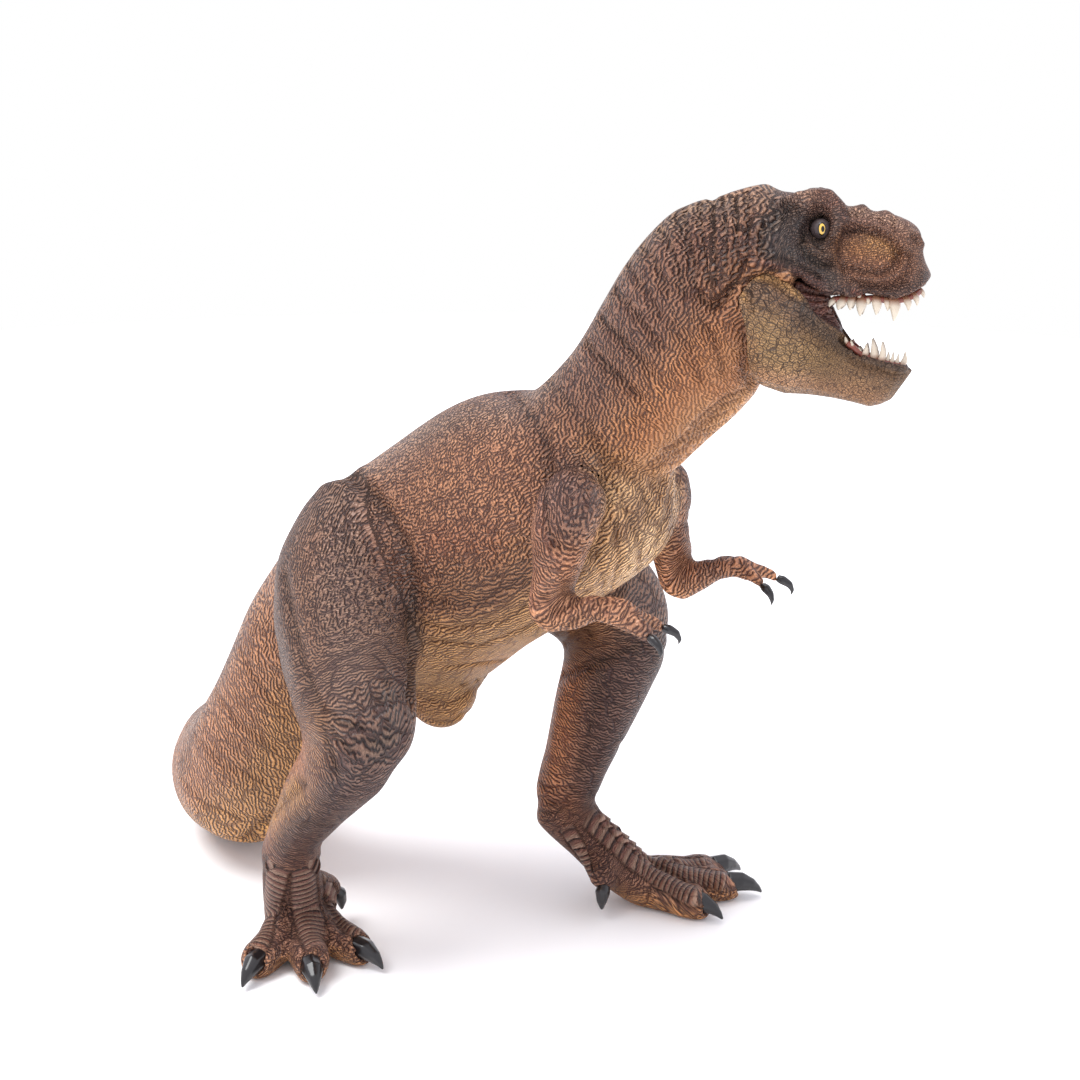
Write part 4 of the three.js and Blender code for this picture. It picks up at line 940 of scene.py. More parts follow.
# Folds by where they show: width, depth, then the pixels x, y in turn. Below nought, a fold is a swelling.
trunk_folds = [
    (1.7, 1.5, 352, 476, 370, 492, 390, 522, 405, 550, 411, 582, 413, 622, 414, 662, 412, 700),
    (2.2, -0.7, 345, 482, 322, 488, 302, 502), (2.0, -0.5, 360, 470, 372, 486),
    (1.6, 0.8, 283, 575, 290, 615, 300, 655, 312, 690, 322, 712), (0.9, 0.6, 322, 708, 340, 722, 362, 728),
    (0.9, 0.6, 320, 712, 336, 738, 352, 752), (0.9, 0.55, 318, 716, 328, 745, 336, 772),
    (1.0, 0.35, 356, 742, 380, 742, 404, 732), (1.1, 0.3, 350, 690, 380, 700, 408, 694),
    (5.0, -0.7, 388, 716), (6.0, -0.8, 350, 640, 352, 680), (4.0, -0.5, 372, 540, 385, 590, 390, 640),
    (1.0, 0.3, 302, 828, 316, 822, 330, 826), (4.0, -0.5, 340, 790, 360, 775),
    (1.5, 0.6, 497, 384, 522, 402, 540, 428, 548, 456), (8.0, -0.7, 440, 420, 480, 430, 520, 470, 520, 520),
    (2.0, 0.45, 375, 520, 395, 580, 430, 604, 480, 602, 520, 580),
    (1.1, 0.9, 552, 468, 544, 498, 546, 528, 556, 548), (1.1, 0.9, 606, 478, 609, 508, 602, 540, 594, 556),
    (4.2, -1.1, 575, 492, 578, 512), (0.8, 0.35, 556, 482, 578, 474, 600, 484),
    (0.8, 0.4, 553, 512, 562, 532, 580, 540, 598, 530), (0.8, 0.35, 558, 545, 575, 552, 592, 548),
    (1.0, -0.35, 556, 560, 560, 590, 548, 612), (0.8, 0.35, 545, 600, 560, 612, 580, 604),
    (0.9, 0.45, 432, 642, 482, 646, 540, 622, 588, 592),
    (0.9, 0.45, 448, 668, 508, 660, 562, 632, 608, 592), (0.9, 0.4, 468, 690, 522, 672, 580, 634, 622, 590),
    (0.9, 0.4, 420, 625, 450, 630, 500, 622, 545, 596), (1.0, 0.35, 424, 700, 450, 704, 476, 690),
    (1.0, 0.3, 428, 720, 450, 722, 468, 712), (0.9, 0.45, 605, 468, 622, 500, 640, 545, 640, 578),
    (0.9, 0.45, 612, 462, 642, 490, 660, 530, 657, 562), (0.9, 0.4, 622, 458, 652, 480, 673, 512),
    (0.9, 0.45, 606, 480, 613, 520, 620, 560, 612, 590), (0.9, 0.35, 598, 560, 604, 590, 596, 606),
    (1.6, 0.8, 590, 445, 610, 470, 640, 478, 668, 484), (1.4, 0.45, 548, 378, 566, 402, 586, 430, 600, 456),
    (7.0, -0.5, 640, 262, 660, 300, 668, 340, 662, 390),
]
neck_folds = [
    (0.75, 1.05, 690, 190, 683, 215, 688, 245, 696, 275),
    (0.75, 1.05, 702, 188, 698, 215, 702, 250, 706, 282),
    (0.75, 1.05, 712, 188, 711, 215, 713, 250, 713, 285),
    (0.75, 1.05, 722, 188, 723, 215, 724, 250, 722, 280),
    (0.75, 1.05, 733, 188, 735, 215, 736, 250, 733, 272),
    (0.75, 0.9, 745, 190, 748, 215, 748, 245, 744, 265),
    (1, 1.35, 744, 262, 734, 284, 722, 302, 712, 308, 703, 304, 699, 296),
    (1.4, -0.4, 735, 296, 720, 314, 704, 316), (0.9, 0.83, 668, 204, 678, 224, 686, 250, 694, 290),
    (0.9, 0.75, 654, 220, 668, 242, 678, 270, 684, 296), (0.9, 0.83, 640, 242, 656, 264, 668, 292),
    (0.9, 0.75, 628, 264, 646, 290, 660, 316), (0.9, 0.75, 615, 290, 640, 318, 660, 346),
    (0.9, 0.75, 600, 318, 628, 348, 652, 372), (0.9, 0.75, 586, 344, 612, 372, 640, 398),
    (1, 0.45, 672, 322, 690, 350, 700, 380), (1, 0.45, 700, 318, 716, 345, 722, 372),
    (1.1, 0.75, 752, 386, 744, 372, 746, 350, 742, 326),
]
throat_ribs = [
    (0.9, 0.9, 744, 393, 727, 399, 709, 413, 693, 427), (0.9, 0.9, 739, 402, 724, 408, 706, 424, 687, 436),
    (0.9, 0.9, 733, 412, 718, 419, 699, 433, 677, 444), (0.9, 0.9, 726, 422, 712, 430, 690, 442, 665, 452),
    (0.9, 0.9, 717, 433, 702, 439, 681, 452, 659, 460), (0.9, 0.9, 708, 443, 693, 449, 671, 460, 649, 466),
    (0.9, 0.9, 697, 453, 684, 458, 662, 467, 640, 472), (0.9, 0.85, 686, 462, 671, 467, 649, 474, 631, 478),
]
tail_folds = [
    (1.4, 0.7, 302, 786, 275, 812, 240, 846), (4.0, 0.5, 262, 600, 280, 660, 292, 720, 298, 770),
    (0.9, 0.3, 240, 650, 262, 690, 285, 720), (0.9, 0.3, 215, 690, 240, 725, 275, 750),
    (0.9, 0.3, 195, 735, 222, 765, 262, 782), (0.9, 0.3, 182, 780, 205, 805, 240, 818),
]
far_leg_folds = [
    (1.4, 0.8, 556, 676, 580, 668, 612, 656, 642, 644), (4.0, -0.6, 620, 600, 640, 625, 655, 650),
    (2.4, -0.4, 560, 705, 556, 740, 552, 775), (1.8, 0.5, 596, 690, 590, 730, 578, 770),
    (0.9, 0.4, 534, 798, 548, 802, 566, 800), (0.8, 0.3, 538, 782, 552, 790, 572, 790),
    (0.8, 0.3, 538, 812, 552, 812, 568, 806), (0.9, 0.3, 590, 796, 608, 800),
]

# Sprayed patches, with painted shade and painted light where marked: colour, width, strength, then the pixels
# x, y in turn
trunk_paint = [
    # 6a4034 and 6e4636 here: painted shade under the bulge of the flank
    ("6a4034", 3.6, 0.62, 378, 520, 392, 575, 425, 602, 475, 606, 520, 580, 545, 545),
    ("6e4636", 6.0, 0.7, 418, 570, 450, 580, 490, 572),
    ("563a35", 2.4, 0.5, 350, 478, 372, 495, 392, 525, 408, 560),
    ("4a3432", 2.2, 0.7, 412, 600, 414, 650, 412, 700), ("8a655a", 4.5, 0.5, 395, 430, 440, 410, 500, 395),
    ("6a4842", 2.6, 0.6, 505, 390, 535, 420, 548, 455), ("a9795e", 7.0, 0.5, 430, 470, 480, 460, 510, 500),
    ("9a6248", 4.0, 0.5, 440, 540, 490, 545), ("664945", 4.2, 0.8, 576, 484, 578, 505, 574, 525),
    ("6d4f4b", 3.0, 0.6, 560, 470, 590, 470), ("8c6a5c", 2.5, 0.4, 600, 480, 608, 500),
    ("4c3f41", 4.2, 0.85, 392, 700, 400, 725, 385, 745), ("58434a", 2.6, 0.6, 400, 600, 406, 650, 402, 690),
    ("5f4e54", 3.0, 0.6, 352, 780, 330, 810, 312, 830), ("a07c66", 2.6, 0.7, 320, 720, 312, 760, 304, 800),
    ("7f6968", 6.0, 0.7, 330, 560, 350, 620, 350, 680), ("8b695c", 3.5, 0.6, 310, 540, 300, 600, 310, 660),
    ("c39660", 5.0, 0.5, 540, 640, 500, 660, 450, 660), ("cda06a", 4.0, 0.6, 440, 720, 460, 715),
    # f6dcb8: the pale chest paint, lightened further as painted light against the shade under it
    ("f6dcb8", 6.0, 0.92, 622, 500, 640, 535, 648, 565), ("e6c49c", 4.0, 0.7, 598, 590, 612, 560, 616, 520),
    ("c89b70", 3.0, 0.6, 620, 470, 660, 470, 690, 450), ("cda377", 2.5, 0.6, 710, 425, 740, 405),
    ("b07a52", 6.0, 0.6, 690, 360, 670, 400, 640, 430), ("7d5a50", 5.0, 0.6, 640, 300, 600, 350, 570, 380),
    ("745048", 5.0, 0.6, 700, 240, 690, 290, 660, 330), ("8a5a40", 3.0, 0.5, 716, 300, 730, 320, 744, 340),
    ("a86f46", 3.0, 0.6, 740, 360, 735, 380, 720, 390), ("927469", 3.0, 0.6, 690, 192, 730, 190, 752, 192),
    ("6f534c", 2.6, 0.6, 238, 640, 200, 710, 180, 770), ("a87a5e", 5.0, 0.5, 255, 640, 240, 700, 225, 760),
    ("caa067", 3.0, 0.8, 296, 790, 270, 820, 240, 850),
    ("634a4d", 4.0, 0.7, 640, 600, 650, 640, 634, 690, 610, 740),
    # ce9171 on the far shank and a5745e on the far hock, just below: painted light that lifts them out of
    # their shade
    ("6e5150", 2.4, 0.5, 600, 700, 590, 740, 580, 780), ("ce9171", 4.0, 0.85, 566, 690, 560, 740, 550, 780),
    ("8a5f45", 4.0, 0.7, 560, 650, 600, 640), ("a5745e", 3.0, 0.8, 545, 782, 556, 800, 566, 806),
    ("9c7260", 2.6, 0.6, 552, 562, 552, 600), ("a07c6a", 2.4, 0.6, 570, 600, 610, 606, 650, 620),
    ("7d5544", 2.4, 0.6, 668, 500, 672, 540, 680, 580), ("8e6a5c", 2.4, 0.6, 700, 590, 740, 570),
]


# The skin, sculpted and painted as one, then cut into its pieces
skin = Skin(*make_skin())
skin.press_all(trunk_folds + neck_folds + tail_folds)
skin.press_all(throat_ribs + far_leg_folds, both=False)
skin.refresh()
painted(skin)
skin.brush_all(trunk_paint)
# the creases darkened: dark wash together with painted shade
skin.settle_dirt(0.68)
hides = {
    "hide": hide_material("hide_paint"),
    "foot_hide": hide_material(
        "foot_paint", cell=0.55, fine=0.45, crack_share=0.8, grain_share=0.45, scaled=True),
    "face_hide": hide_material(
        "face_paint", cell=0.5, fine=0.5, depth=0.8, crack_share=0.7, grain_share=0.6),
    "jaw_hide": hide_material(
        "jaw_paint", cell=0.56, fine=0.4, wound_share=0.7, crack_share=1.0, grain_share=0.3),
    "neck_hide": hide_material("neck_paint"),
}


def with_alpha(colours):
    return np.concatenate([colours, np.ones((len(colours), 1))], axis=1)


def dress(piece, name, slot="hide", body="figure"):
    """A finished skin becomes the object that stands for its CAD node."""
    attributes = {
        "chart": piece.chart, "paint": with_alpha(piece.paint), "weave": piece.weave, "scale": piece.scale,
    }
    made = make_piece(name + "_skin", piece.places, piece.faces, body, name, hides[slot], attributes)
    if piece.rim.any():
        piece.refresh()
        share = (1 - piece.calm) if piece.calm.min() < 1 else piece.rim * 1.0
        normals = unit(piece.normals + share[:, None] * (piece.outer_normals - piece.normals))
        made.data.normals_split_custom_set_from_vertices(normals.tolist())


# Head features by where they show
face_folds = [
    (1.3, -0.8, 767, 216, 782, 204, 798, 199, 806, 203), (1.2, -0.5, 803, 203, 806, 212, 803, 222),
    (0.8, 0.7, 809, 212, 806, 226, 804, 240), (1.2, -0.7, 809, 197, 817, 190, 828, 196, 838, 207),
    (0.9, -0.4, 812, 203, 820, 202, 829, 208, 835, 216), (1.0, -0.7, 838, 212, 837, 224, 834, 236),
    (0.5, 0.3, 834, 214, 832, 230, 831, 246), (1.2, 0.25, 820, 219, 820, 238),
    (0.6, -0.3, 810, 217, 818, 211, 827, 214), (0.7, 0.4, 813, 222, 812, 234, 815, 243, 822, 249),
    (0.9, -0.5, 806, 240, 812, 249, 822, 255, 830, 256), (0.8, 0.4, 802, 246, 808, 257, 820, 264, 832, 264),
    (1.0, -0.35, 842, 212, 852, 210, 862, 211),
    (0.9, -0.5, 845, 222, 858, 222, 872, 225, 886, 231, 897, 239, 905, 249),
    (0.7, 0.45, 842, 234, 852, 229, 866, 229, 882, 234, 894, 243, 899, 254),
    (0.8, 0.4, 840, 240, 840, 256, 846, 268), (0.8, 0.4, 899, 254, 894, 266, 880, 272, 862, 270, 848, 266),
    (3.4, 0.6, 856, 252, 872, 250, 886, 252), (0.5, 0.15, 868, 262, 886, 264, 899, 258),
    (0.7, -0.35, 905, 262, 897, 274, 880, 280, 860, 278),
    (0.6, 0.25, 910, 256, 912, 268, 903, 280, 884, 287, 862, 284),
    (0.8, -0.4, 850, 288, 868, 295, 890, 297, 908, 291, 922, 282),
    (0.6, 0.3, 852, 280, 868, 287, 890, 289, 906, 283), (0.5, 0.25, 913, 237, 918, 242),
    (0.5, 0.4, 762, 216, 778, 201, 796, 195, 809, 198, 811, 207),
    (1.2, -0.75, 833, 288, 843, 288, 852, 289), (0.8, -0.3, 909, 234, 918, 236, 922, 244),
    (1.3, -0.5, 862, 211), (1.2, -0.3, 874, 216), (1.3, -0.5, 886, 215), (1.3, -0.4, 905, 225),
    (0.8, -0.45, 752, 262, 775, 266, 797, 272, 815, 284, 832, 291),
    (0.6, 0.35, 756, 258, 778, 260, 800, 266, 818, 277), (0.7, 0.5, 764, 220, 760, 236, 762, 252),
    (3.4, -0.5, 780, 236, 784, 250), (1.6, 0.4, 790, 206, 780, 214, 774, 226),
    (0.6, 0.3, 846, 214, 850, 217), (0.5, 0.3, 856, 214, 859, 220), (0.5, 0.3, 869, 214, 871, 222),
    (0.5, 0.3, 880, 216, 882, 226), (0.5, 0.3, 893, 220, 894, 231),
]
face_paint = [
    ("40363a", 1.9, 0.9, 770, 222, 768, 245, 775, 262), ("3a2c30", 2.8, 0.95, 782, 212, 784, 240, 790, 262),
    ("382a2e", 2.4, 0.95, 798, 206, 800, 230, 806, 258), ("3f3437", 2.2, 0.9, 812, 262, 826, 272, 840, 283),
    ("4a3a3a", 2.0, 0.7, 800, 270, 820, 280), ("453a3b", 1.8, 0.8, 830, 262, 842, 275),
    ("7a544c", 1.6, 0.85, 810, 196, 818, 190, 836, 205), ("6e4f49", 1.3, 0.8, 816, 203, 828, 208, 836, 226),
    ("5c4d4c", 1.0, 0.7, 836, 214, 836, 240), ("2a2224", 1.6, 0.95, 820, 219, 820, 240),
    ("6a5347", 0.8, 0.6, 807, 243, 816, 252, 828, 256), ("b9895d", 2.6, 0.9, 848, 250, 866, 250, 888, 252),
    ("be9666", 1.6, 0.75, 872, 241, 892, 250), ("a4765d", 1.8, 0.7, 848, 264, 870, 270, 892, 268),
    ("6c4a41", 0.8, 0.7, 842, 236, 860, 229, 884, 233, 900, 246),
    ("7b5440", 1.2, 0.7, 904, 250, 900, 268, 880, 277, 856, 275),
    ("9f7c72", 1.6, 0.75, 850, 217, 880, 222, 905, 235),
    ("bba39b", 1.3, 0.75, 850, 210, 885, 216, 910, 228),
    ("83604f", 2.2, 0.75, 912, 240, 920, 256, 926, 270),
    ("523d3c", 1.2, 0.9, 850, 286, 870, 292, 892, 294, 912, 287, 926, 275),
    ("8d4b3c", 0.45, 0.8, 854, 292, 870, 299, 892, 301, 908, 296), ("4a3632", 0.6, 0.5, 914, 241),
    ("8a6450", 1.1, 0.8, 843, 238, 843, 262), ("8f6856", 1.7, 0.75, 852, 274, 880, 281, 905, 272),
    ("7a5a50", 0.8, 0.6, 842, 284, 860, 284, 885, 286), ("866258", 1.3, 0.7, 812, 193, 820, 188, 832, 197),
    ("6d4440", 1.0, 0.7, 756, 262, 790, 270, 820, 286), ("9c8378", 2.4, 0.85, 760, 190, 780, 190, 805, 191),
    ("8f7267", 2.0, 0.7, 750, 200, 765, 205),
]
head = skin.part("head", finer=True)
head.press_all(face_folds, share=face_relief)
head.refresh()
head.brush_all(face_paint)
head.settle_dirt(0.6)
dress(head, "head", "face_hide")

# Feet: three columns of scales down each, and small scales beside them
right_toe_lines = [
    (2.6, 281, 836, 277, 870, 269, 905, 262, 930, 255, 950),
    (3.0, 306, 838, 306, 870, 306, 905, 312, 930, 321, 948),
    (2.2, 325, 838, 325, 880, 338, 915, 358, 930, 378, 938),
]
left_toe_lines = [
    (2.7, 584, 811, 606, 832, 634, 859, 668, 880, 699, 896),
    (2.4, 596, 811, 620, 834, 645, 856, 685, 870, 728, 882), (1.7, 652, 858, 679, 861, 708, 863),
    (1.7, 563, 823, 579, 849, 595, 876),
]
# Pads that swell round the claws, and the grooves between the toes
foot_folds = {
    "right_foot": [
        (2.6, -0.9, 254, 957), (2.6, -0.9, 321, 952), (2.2, -0.8, 378, 937), (1.2, 0.8, 285, 905, 292, 935),
        (1.2, 0.7, 325, 900, 345, 930),
    ],
    "left_foot": [
        (2.4, -0.9, 694, 895), (2.2, -0.7, 724, 880), (1.8, -0.6, 706, 863), (1.0, 0.7, 658, 866, 690, 882),
        (1.6, -1.3, 585, 852, 591, 866, 596, 878),
    ],
}
for name, toe_lines in (("right_foot", right_toe_lines), ("left_foot", left_toe_lines)):
    foot = skin.part(name, finer=True)
    for number, (half_width, *pixels) in enumerate(toe_lines):
        foot.scutes(pixels, half_width, 0.4 * number)
        foot.refresh()
    foot.press_all(foot_folds[name], both=False)
    foot.refresh()
    foot.settle_dirt(0.5)
    dress(foot, name, "foot_hide")
for name in ("torso", "tail", "neck", "right_leg", "left_leg", "right_arm", "left_arm"):
    dress(skin.part(name), name, "neck_hide" if name == "neck" else "hide")

# Lower jaw
jaw_folds = [
    (0.7, -0.35, 747, 312, 741, 292, 750, 279, 764, 275, 780, 280, 793, 292),
    (0.6, 0.35, 753, 310, 748, 294, 754, 285, 765, 281, 778, 286, 788, 297),
    (5.0, -0.7, 775, 310, 785, 330, 790, 350), (1.6, 0.4, 800, 318, 815, 336, 835, 348),
    (3.0, -0.3, 760, 360, 790, 372, 830, 385), (0.8, -0.35, 850, 352, 870, 361, 890, 366, 905, 369),
    (0.6, 0.3, 850, 360, 868, 369, 888, 374, 902, 376),
]
pits = (848, 351, 854, 354, 860, 357, 866, 360, 872, 362, 878, 364, 884, 366, 890, 367, 896, 368, 902, 369)
jaw_folds += [(0.3, 0.25, x, y, x - 1, y + 5) for x, y in zip(pits[::2], pits[1::2])]
jaw_paint = [
    ("5f473a", 3.0, 0.85, 756, 290, 772, 298, 788, 308, 798, 322),
    ("40322f", 1.9, 0.85, 800, 304, 812, 322, 828, 336, 846, 350),
    ("3a2c2c", 0.9, 0.85, 850, 352, 872, 361, 904, 370), ("6d5645", 1.8, 0.5, 858, 366, 880, 376, 900, 382),
    ("a88757", 0.65, 0.7, 744, 300, 742, 288, 749, 279, 762, 277, 776, 281, 789, 289, 799, 297),
    ("9c845e", 3.5, 0.85, 766, 335, 772, 352, 790, 368), ("98805c", 3.0, 0.8, 800, 350, 830, 368),
    ("997c5e", 3.0, 0.7, 840, 380, 870, 392), ("bd977a", 2.4, 0.8, 760, 378, 800, 384, 840, 392, 876, 402),
    ("96724c", 1.4, 0.6, 752, 340, 752, 365),
]


def jaw_skin():
    places, faces = rounded("lower_jaw", jaw_grain, inner_growth, 4)
    jaw = Skin(places, faces, np.full(len(places), "lower_jaw"))
    local = to_jaw(jaw.places)
    jaw.chart = local * (1 + 0.7 * ease(9, 17, local[:, :1]))
    jaw.paint = np.tile(tone("8c7153"), (len(places), 1))
    inside = (ease(0.2, 0.7, jaw.normals @ jaw_turn[:, 2]) * ease(3, 6, local[:, 0]))[:, None]
    jaw.paint += inside * (tone("4a2523") - jaw.paint)
    jaw.paint *= (1 + 0.12 * noise(jaw.places, 5.0, 31))[:, None] * paint_level
    jaw.weave = np.tile([0.0, 0.0, 0.8], (len(places), 1))
    return jaw


jaw = jaw_skin()
jaw.press_all(jaw_folds)
jaw.refresh()
jaw.brush_all(jaw_paint)
jaw.settle_dirt(0.6)
dress(jaw, "lower_jaw", "jaw_hide", "jaw")

# Claws
claw_black = plain("claw_gloss", "120f11", 0.28, coat=0.3)


def box_centre(node):
    """The centre of a CAD node's box, in metres in the row frame."""
    low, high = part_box(node)
    return (np.array(low) + np.array(high)) / 2


def make_claw(node):
    """A rounded claw, a little shorter than the solid, whose tip is sharper than a mesh this fine can be."""
    places, faces = rounded(node, claw_grain, 0.06, 8)
    limb = node.split("_")[0] + ("_arm" if "finger" in node else "_foot")
    reach = np.linalg.norm(places - (box_centre(limb) * metre - stance), axis=1)
    tip = places[reach.argmax()]
    root = places[reach < np.quantile(reach, 0.1)].mean(axis=0)
    way = unit(tip - root)
    places = places - claw_shortening * np.clip((places - root) @ way, 0, None)[:, None] * way
    make_piece(node + "_form", places, faces, "figure", node, claw_black)


for node in frame["nodes"]:
    if "claw" in node:
        make_claw(node)


# Teeth: each from its root pixel to its tip pixel, with its half width
upper_teeth = [
    ((832, 299), (829, 307), 0.5), ((841, 299), (838, 310), 0.8), ((850.5, 299), (850, 310), 0.75),
    ((852, 290), (852, 297), 0.5), ((859, 294), (860, 301), 0.5), ((861, 300), (860, 316), 0.9),
    ((868.5, 298), (868, 305), 0.5), ((877, 299), (876, 315), 0.9), ((888, 300), (887.5, 311), 0.65),
    ((895.5, 301), (893.5, 321), 1.05), ((908.5, 299), (908.5, 311), 0.75), ((917, 295), (917, 306), 0.65),
    ((923.5, 290), (924, 298), 0.5),
]
lower_teeth = [
    ((846, 343), (845, 336), 0.4), ((852, 347), (851, 340), 0.42), ((860.5, 355), (858.7, 347), 0.5),
    ((865.5, 357), (866.5, 343.5), 0.6), ((875, 361), (872, 338.5), 0.8), ((882.5, 363), (882, 342), 0.68),
    ((888, 364), (888, 352.5), 0.42), ((892.7, 365), (892.7, 352.5), 0.42), ((897.5, 366), (898, 354), 0.42),
    ((904, 367), (905, 351.5), 0.6),
]
# Each ring of a tooth: its share of the way from root to tip, and its share of the width
tooth_rings = ((-0.25, 1.0), (0.0, 1.05), (0.3, 0.92), (0.6, 0.66), (0.85, 0.34), (0.97, 0.14), (1.0, 0.04))
ring_sides = 8
ring_cap = ((0, 1, 2, 3), (0, 3, 4, 7), (4, 5, 6, 7))


def cone(root, tip, half_width, bend):
    """Rings of a curved tooth from root to tip."""
    along = tip - root
    side = unit(np.cross(along, [0.3, 0.2, 0.9]))
    other = unit(np.cross(along, side))
    rings = []
    for share, width in tooth_rings:
        centre = root + share * along + bend * (share * (1 - share))
        for k in range(ring_sides):
            turn = 2 * math.pi * k / ring_sides
            rings.append(centre + half_width * width * (math.cos(turn) * side + 0.8 * math.sin(turn) * other))
    return np.array(rings)


def tube(line, half_widths):
    rings = []
    for k, centre in enumerate(line):
        ahead = unit(line[min(k + 1, len(line) - 1)] - line[max(k - 1, 0)])
        side = unit(np.cross(ahead, [0.1, 0.1, 1.0]))
        other = np.cross(ahead, side)
        for j in range(ring_sides):
            turn = 2 * math.pi * j / ring_sides
            rings.append(centre + half_widths * (math.cos(turn) * side + math.sin(turn) * other))
    return np.array(rings)


def ring_faces(rings, first):
    """The faces round a stack of rings and over both its ends."""
    faces = []
    for ring in range(rings - 1):
        for k in range(ring_sides):
            a = first + ring * ring_sides
            following = (k + 1) % ring_sides
            faces.append((a + k, a + following, a + ring_sides + following, a + ring_sides + k))
    top = first + (rings - 1) * ring_sides
    faces += [tuple(top + k for k in corners) for corners in ring_cap]
    faces += [tuple(first + k for k in reversed(corners)) for corners in ring_cap]
    return faces


def make_teeth(node, teeth, body, to_local, turn):
    """Both rows of one jaw: the near one by its pixels, and its mirror image."""
    places, _ = cad_arrays(node)
    places = places[to_local(places)[:, 1] < 0.4]
    pixels = shown(places)
    inward = hinge_place + turn @ np.array([16.0, 0.0, 0.0])
    root_tone, tip_tone, gum_tone = [tone(code) for code in tooth_tones]
    all_places, all_faces, colours, roots = [], [], [], []
    for root_pixel, tip_pixel, half_width in teeth:
        apart = np.abs(pixels - root_pixel) @ [1.0, 0.7]
        depth = ((eye_place - places[np.argsort(apart)[:5]]) @ back).mean()
        root = eye_place + ray_through(root_pixel) * depth
        root += 0.5 * unit(inward - root)
        depth = (eye_place - root) @ back
        tip = eye_place + ray_through(tip_pixel) * depth
        roots.append(root)
        for side in (1, -1):
            pair = np.array([root, tip])
            if side < 0:
                pair = mirrored(pair, to_local, turn)
            length = np.linalg.norm(pair[1] - pair[0])
            rings = cone(pair[0], pair[1], 1.1 * half_width, 0.5 * length * unit(pair[0] - inward))
            all_faces += ring_faces(len(tooth_rings), sum(len(p) for p in all_places))
            all_places.append(rings)
            share = np.repeat([share for share, _ in tooth_rings], ring_sides)[:, None]
            colours.append(root_tone + np.clip(share * 3, 0, 1) * (tip_tone - root_tone))
    roots = np.array(roots)
    line = np.concatenate([roots, mirrored(roots, to_local, turn)[::-1]])
    fine = np.linspace(0, len(line) - 1, 90)
    line = relaxed_line(rows_at(fine, np.arange(len(line)), line), 4)
    rings = tube(line, gum_half_width)
    all_faces += ring_faces(len(line), sum(len(p) for p in all_places))
    all_places.append(rings)
    colours.append(np.tile(gum_tone, (len(rings), 1)))
    w = Wiring(node + "_enamel")
    material = w.finish(Base_Color=w.attribute("paint", "Color"), Roughness=0.35, Coat_Weight=0.2)
    attributes = {"paint": with_alpha(np.concatenate(colours) * tooth_level)}
    places, faces = np.concatenate(all_places), np.array(all_faces)
    make_piece(node + "_form", places, faces, body, node, material, attributes)


make_teeth("upper_teeth", upper_teeth, "figure", to_head, head_turn)
make_teeth("lower_teeth", lower_teeth, "jaw", to_jaw, jaw_turn)


# Mouth
strands = [
    (0.5, -0.4, 797, 284, 812, 290, 829, 295), (0.4, 0.4, 798, 289, 812, 293, 829, 297),
    (0.5, -0.4, 800, 295, 814, 297, 829, 299), (0.4, 0.4, 801, 300, 814, 301, 829, 301),
    (0.5, -0.4, 804, 305, 815, 304, 829, 303), (0.4, 0.4, 807, 310, 817, 308, 829, 306),
    (0.5, -0.4, 812, 316, 820, 312, 829, 309), (0.4, 0.4, 818, 322, 825, 317, 830, 312),
]
hides["mouth_skin"] = hide_material("mouth_gloss", depth=0.4, roughness=0.42, cell=0.7, fine=0.35)


def mouth_piece(node, colour):
    places, faces = rounded(node, mouth_grain, inner_growth, 5)
    piece = Skin(places, faces, np.full(len(places), node))
    piece.chart = to_head(piece.places)
    piece.paint = np.tile(tone(colour) * paint_level, (len(places), 1))
    piece.weave = np.tile([0.0, 0.6, 0.5], (len(places), 1))
    return piece


lining = mouth_piece("mouth_lining", "553432")
for width, depth, *pixels in strands:
    lining.press(pixels, width, depth)
    lining.brush(pixels, width, "7d524c" if depth < 0 else "2c1717", 0.8)
dress(lining, "mouth_lining", "mouth_skin")
dress(mouth_piece("tongue", "6e3c38"), "tongue", "mouth_skin", "jaw")


# Eyes: a narrow amber iris and a black pupil between dark lids. Half widths and heights in metres.
iris_half = (0.0005, 0.00088)
pupil_half = (0.00029, 0.0005)
pupil_shift = 0.00012


def eye_material(name, centre, gaze, upward):
    w = Wiring(name)
    place = w.add("ShaderNodeTexCoord").outputs["Object"]
    off = w.vector("SUBTRACT", place, tuple(centre))
    sideways = np.cross(upward, gaze)

    def oval(half_width, half_height, shift):
        """Below 1 inside an oval that faces along the gaze."""
        measures = []
        for axis, half, start in ((sideways, half_width, shift), (upward, half_height, 0.0)):
            values = {0: off, 1: tuple(axis / half)}
            along = w.add("ShaderNodeVectorMath", {"operation": "DOT_PRODUCT"}, values).outputs["Value"]
            measure = w.minus(along, start / half)
            measures.append(w.times(measure, measure))
        return w.math("SQRT", w.math("ADD", *measures))

    rim = w.step(oval(iris_half[0] * 1.35, iris_half[1] * 1.25, 0.0), 1.1, 0.95)
    iris = w.step(oval(*iris_half, 0.0), 1.05, 0.95)
    pupil = w.step(oval(*pupil_half, pupil_shift), 1.1, 0.9)
    colour = w.tint(rim, lid_tone, iris_rim_tone)
    colour = w.tint(iris, colour, iris_tone)
    colour = w.tint(pupil, colour, pupil_tone)
    return w.finish(Base_Color=colour, Roughness=w.blend(rim, 0.55, 0.12))


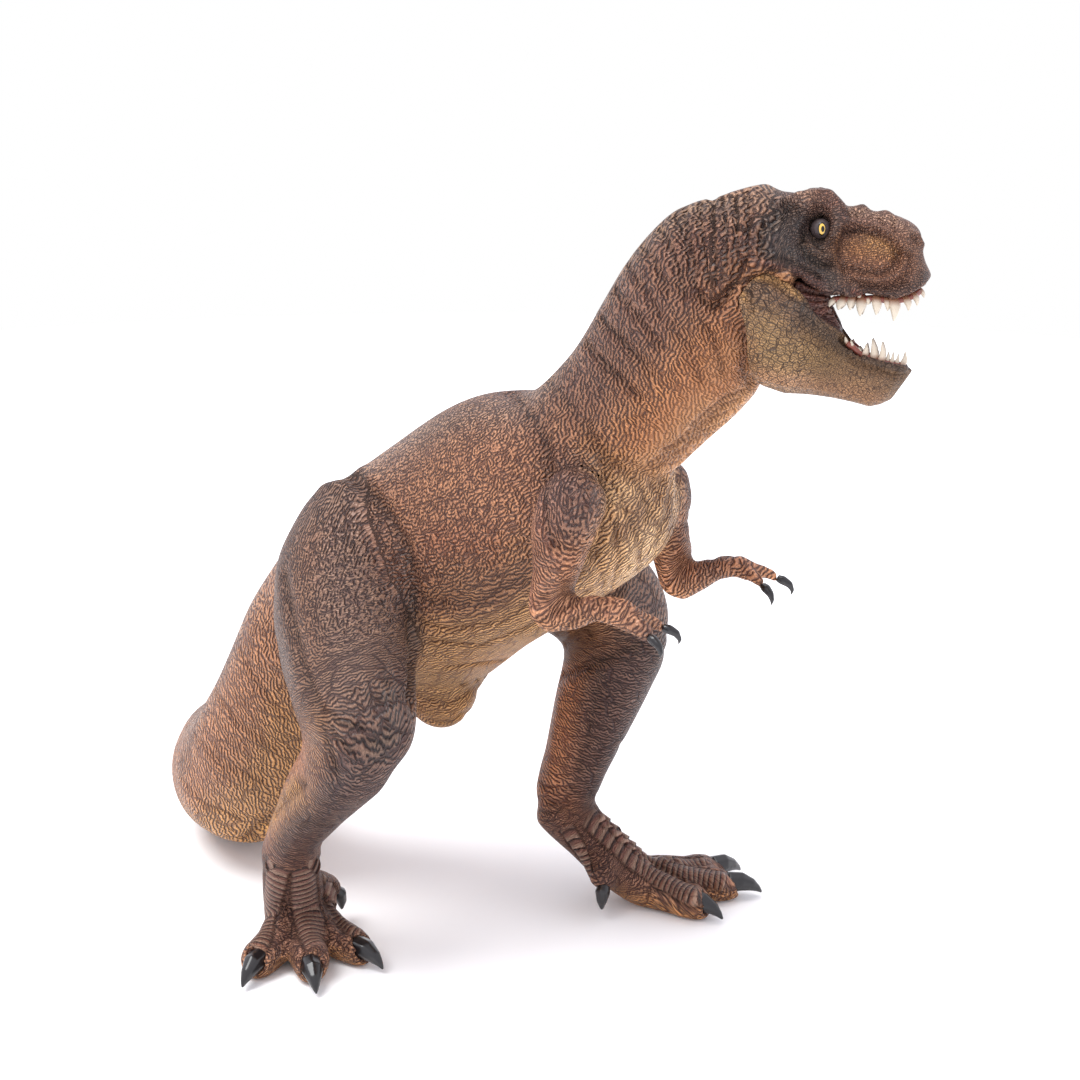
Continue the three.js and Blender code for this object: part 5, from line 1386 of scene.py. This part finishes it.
eye_places = {}
for node in ("right_eye", "left_eye"):
    eye_places[node] = box_centre(node)
seen_from = unit(eye_place + stance - eye_places["right_eye"] * metre)
gaze_local = seen_from @ head_turn + [0.15, 0.0, 0.0]
for node, side in (("right_eye", 1), ("left_eye", -1)):
    gaze = head_turn @ unit(gaze_local * [1, side, 1])
    upward = unit(head_turn[:, 2] - (head_turn[:, 2] @ gaze) * gaze)
    iris_look = eye_material(node + "_look", eye_places[node], gaze, upward)
    places, faces = rounded(node, eye_grain, 0.12, 2)
    make_piece(node + "_form", places, faces, "figure", node, iris_look)

pin_steel = plain("pin_steel", "b0b0b2", 0.35, metallic=1.0)
frame["nodes"]["jaw_pin"].data.materials.clear()
frame["nodes"]["jaw_pin"].data.materials.append(pin_steel)


# Floor, light and camera
def make_floor(radius=0.7, sides=64):
    turns = [2 * math.pi * k / sides for k in range(sides)]
    rim = [(radius * math.cos(turn), radius * math.sin(turn), 0) for turn in turns]
    mesh = bpy.data.meshes.new("floor")
    mesh.from_pydata(rim, [], [tuple(range(sides))])
    mesh.materials.append(plain("floor_white", "ffffff", 0.9))
    floor = placed("floor", mesh)


def make_sun(name, place, strength, spread):
    """A broad, distant light that shines from the direction of the place."""
    data = bpy.data.lights.new(name, "SUN")
    data.energy = strength
    data.angle = math.radians(spread)
    lamp = placed(name, data)
    lamp.location = place
    lamp.rotation_euler = Vector(place).to_track_quat("Z", "Y").to_euler()


def make_world():
    """White where the camera looks past the floor, and an even glow for everything else."""
    world = bpy.data.worlds.new("studio")
    bpy.context.scene.world = world
    world.use_nodes = True
    world.node_tree.nodes.clear()
    w = Wiring(tree=world.node_tree)
    path = w.add("ShaderNodeLightPath").outputs
    seen = w.math("MAXIMUM", path["Is Camera Ray"], path["Is Transmission Ray"])
    glow = w.add("ShaderNodeBackground", (), {"Color": (0.94, 0.93, 1.0, 1), "Strength": 1.2})
    white = w.add("ShaderNodeBackground", (), {"Color": (1, 1, 1, 1)})
    mixed = w.add("ShaderNodeMixShader", (), {0: seen, 1: glow.outputs[0], 2: white.outputs[0]})
    w.add("ShaderNodeOutputWorld", (), {0: mixed.outputs[0]})


make_floor()
make_sun("overhead", place=(-0.25, -0.3, 1.0), strength=2.7, spread=40)
make_world()
make_camera()
bpy.context.scene.view_settings.view_transform = "Standard"
